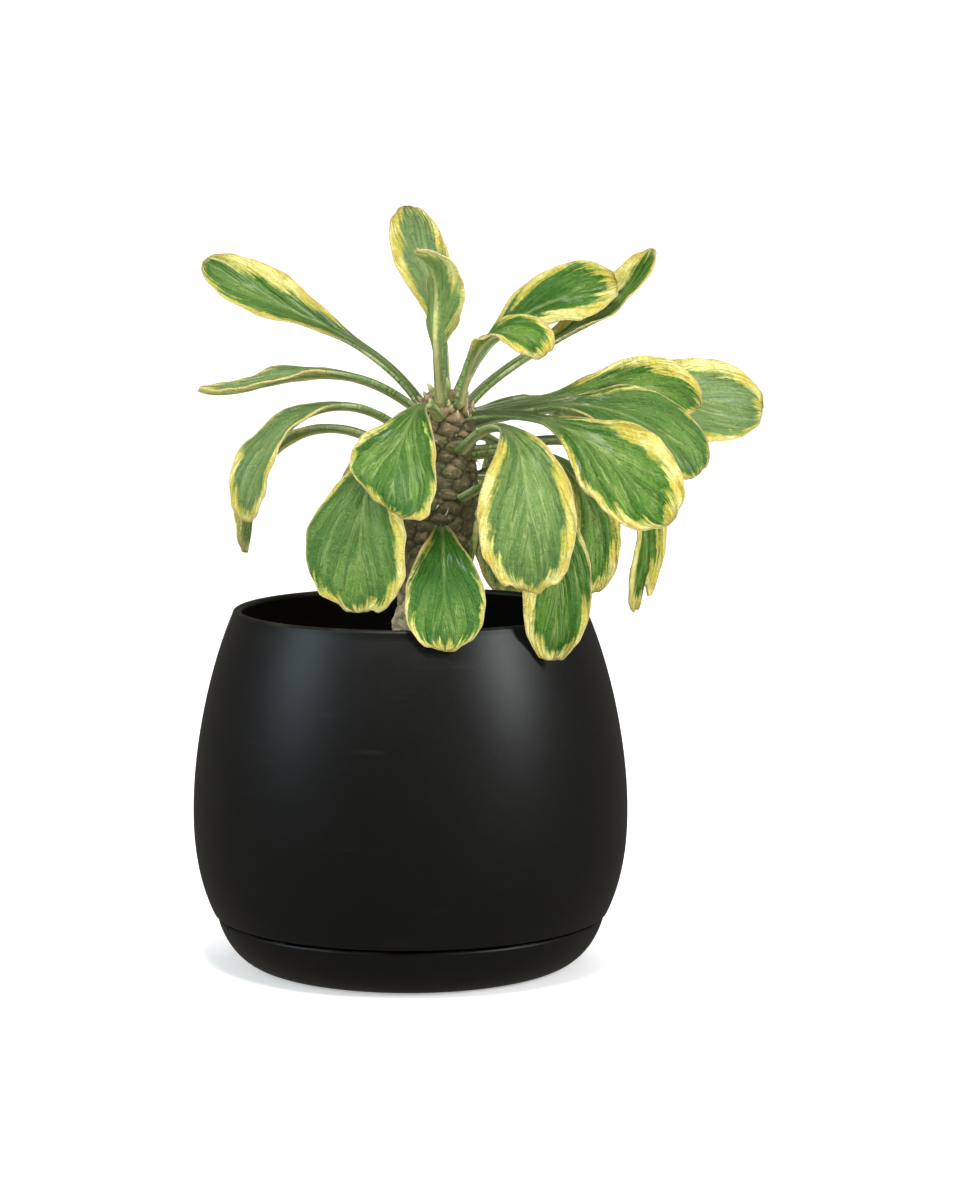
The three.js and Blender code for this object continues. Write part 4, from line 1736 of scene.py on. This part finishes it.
    def _line(self, s: np.ndarray, tt: np.ndarray) -> np.ndarray:
        """Which vein a point lies on: where that vein leaves the midrib, as a share."""
        return s - VEIN_SLANT * np.abs(tt) ** 0.92

    def _carried(
        self,
        leaf: Leaf,
        seed: float,
        s: np.ndarray,
        tt: np.ndarray,
        depth: np.ndarray,
        half: np.ndarray,
    ) -> dict[str, np.ndarray]:
        """The vectors that the leaf's finish reads.

        Args:
            leaf: The leaf.
            seed: Its own number.
            s: Shares of the length.
            tt: Shares of the half width.
            depth: 0 on the upper face, 1 on the underside.
            half: Half the width at each row.

        Returns:
            The vectors vein, zone, blade and tint, with the buried rows in front.
        """
        x, y = s * leaf.length, tt * half[:, None]
        edge = self._edge_distance(leaf, x, y)
        plus, minus, tip = leaf.yellow
        sideways = mix(minus, plus, smooth(tt, -0.35, 0.35))
        width = mix(sideways, tip, smooth(s, 0.86, 0.99) * (1.0 - 0.5 * np.abs(tt)))
        uneven = 1.0 + 0.25 * ripple(s * 1.5 + tt * 0.2, seed + 0.3)
        width = width * smooth(s, 0.28, 0.72) * uneven
        stalk = 1.0 - smooth(s, 0.26, 0.46)
        inner = edge - width + stalk * 6.0
        ones = np.ones_like(s)
        # painted shade fades out towards the tip, so it stays strongest near the base
        fading = 1.0 - 0.8 * smooth(s, 0.70, 0.88)
        vectors = {
            "vein": np.stack([self._line(s, tt), tt, ones * seed], -1),
            "zone": np.stack([inner, edge, 1.0 - depth], -1),
            "blade": np.stack([x, y, stalk], -1),
            "grey_and_shade": np.stack([ones * leaf.grey_and_shade[0], leaf.grey_and_shade[1] * fading, 0 * ones], -1),
        }
        return {
            key: np.vstack([value[:1]] * len(self.growth.clasps) + [value]).reshape(-1, 3)
            for key, value in vectors.items()
        }


# ---- Studio ---------------------------------------------------------------------------------


@dataclass(frozen=True)
class Softbox:
    """One soft light: where it stands, what it looks at, its size and strength."""

    name: str
    azimuth: float
    elevation: float
    distance: float
    size: tuple[float, float]
    power: float
    colour: tuple[float, float, float] = (1.0, 1.0, 1.0)
    glossy: bool = True


@dataclass(frozen=True)
class Studio:
    """The pale floor with its sweep, the lights and the camera. Metres."""

    floor_radius: float = 2.2
    sweep: float = 1.3
    top: float = 3.2
    sides: int = 128
    camera_place: tuple[float, float, float] = (0.032, -1.616, 0.366)
    pitch: float = 7.0
    lens: float = 106.4
    air: float = 0.17
    air_colour: tuple[float, float, float, float] = (1.0, 0.94, 0.82, 1.0)
    aim: tuple[float, float, float] = (0.0, 0.0, 0.17)
    lights: tuple[Softbox, ...] = (
        Softbox("key", -4.0, 65.0, 1.9, (0.28, 0.28), 20.0, (1.0, 0.985, 0.95)),
        Softbox("left_box", -68.0, 24.0, 1.6, (0.56, 0.60), 7.4, (0.68, 0.90, 1.0)),
        Softbox("right_box", 62.0, 26.0, 1.6, (0.32, 0.50), 12.0, (0.94, 0.98, 1.0)),
        Softbox("rear_box", 165.0, 40.0, 2.2, (1.2, 0.9), 9.0, (1.0, 1.0, 0.98), False),
        Softbox("overhead", 170.0, 80.0, 2.4, (1.8, 1.8), 12.0, (1.0, 1.0, 0.98), False),
    )

    def build(self, bench: Bench) -> None:
        """Builds the floor, the lights and the camera.

        Args:
            bench: Where pieces become objects.
        """
        turns = np.linspace(0.0, math.pi / 2, 20)
        curve = [
            (self.floor_radius + self.sweep * math.sin(a), self.sweep * (1.0 - math.cos(a)))
            for a in turns
        ]
        side = [(0.001, 0.0), (self.floor_radius * 0.5, 0.0), *curve]
        side += [(self.floor_radius + self.sweep, self.top)]
        shape = turned(np.array(side) / MM, self.sides, closed=False)
        floor = bench.mesh("studio_floor", shape, Finish.FLOOR)
        floor.visible_glossy = False
        for light in self.lights:
            self._hang(light)
        self._surround()
        self._camera()

    def _hang(self, light: Softbox) -> None:
        """Hangs one soft light.

        Args:
            light: The light.
        """
        data = bpy.data.lights.new(light.name, "AREA")
        data.shape = "RECTANGLE"
        data.size, data.size_y = light.size
        data.energy = light.power
        data.color = light.colour
        made = bpy.data.objects.new(light.name, data)
        turn, rise = math.radians(light.azimuth), math.radians(light.elevation)
        away = Vector(
            (math.sin(turn) * math.cos(rise), -math.cos(turn) * math.cos(rise), math.sin(rise))
        )
        made.location = Vector(self.aim) + away * light.distance
        made.rotation_euler = away.to_track_quat("Z", "Y").to_euler()
        made.visible_glossy = light.glossy
        bpy.context.scene.collection.objects.link(made)

    def _surround(self) -> None:
        """Lights the whole studio evenly and keeps whites plain."""
        world = bpy.data.worlds.new("studio_air")
        world.use_nodes = True
        back = world.node_tree.nodes["Background"]
        back.inputs["Color"].default_value = self.air_colour
        back.inputs["Strength"].default_value = self.air
        bpy.context.scene.world = world
        bpy.context.scene.view_settings.view_transform = "Standard"

    def _camera(self) -> None:
        """Stands the camera in front, a little above the plant, looking slightly down."""
        data = bpy.data.cameras.new("front_camera")
        data.lens = self.lens
        made = bpy.data.objects.new("front_camera", data)
        made.location = self.camera_place
        made.rotation_euler = (math.radians(90.0 - self.pitch), 0.0, 0.0)
        bpy.context.scene.collection.objects.link(made)
        bpy.context.scene.camera = made


# ---- Assembly -------------------------------------------------------------------------------


def main() -> None:
    """Builds the plant, its pot and the studio."""
    logging.basicConfig(level=logging.INFO, format="%(name)s: %(message)s")
    bench = Bench()
    for part in (Studio(), Saucer(), Pot(), Stem(), Soil(), Foliage()):
        part.build(bench)
        LOG.info("%s built", type(part).__name__)


if __name__ == "__main__":
    main()
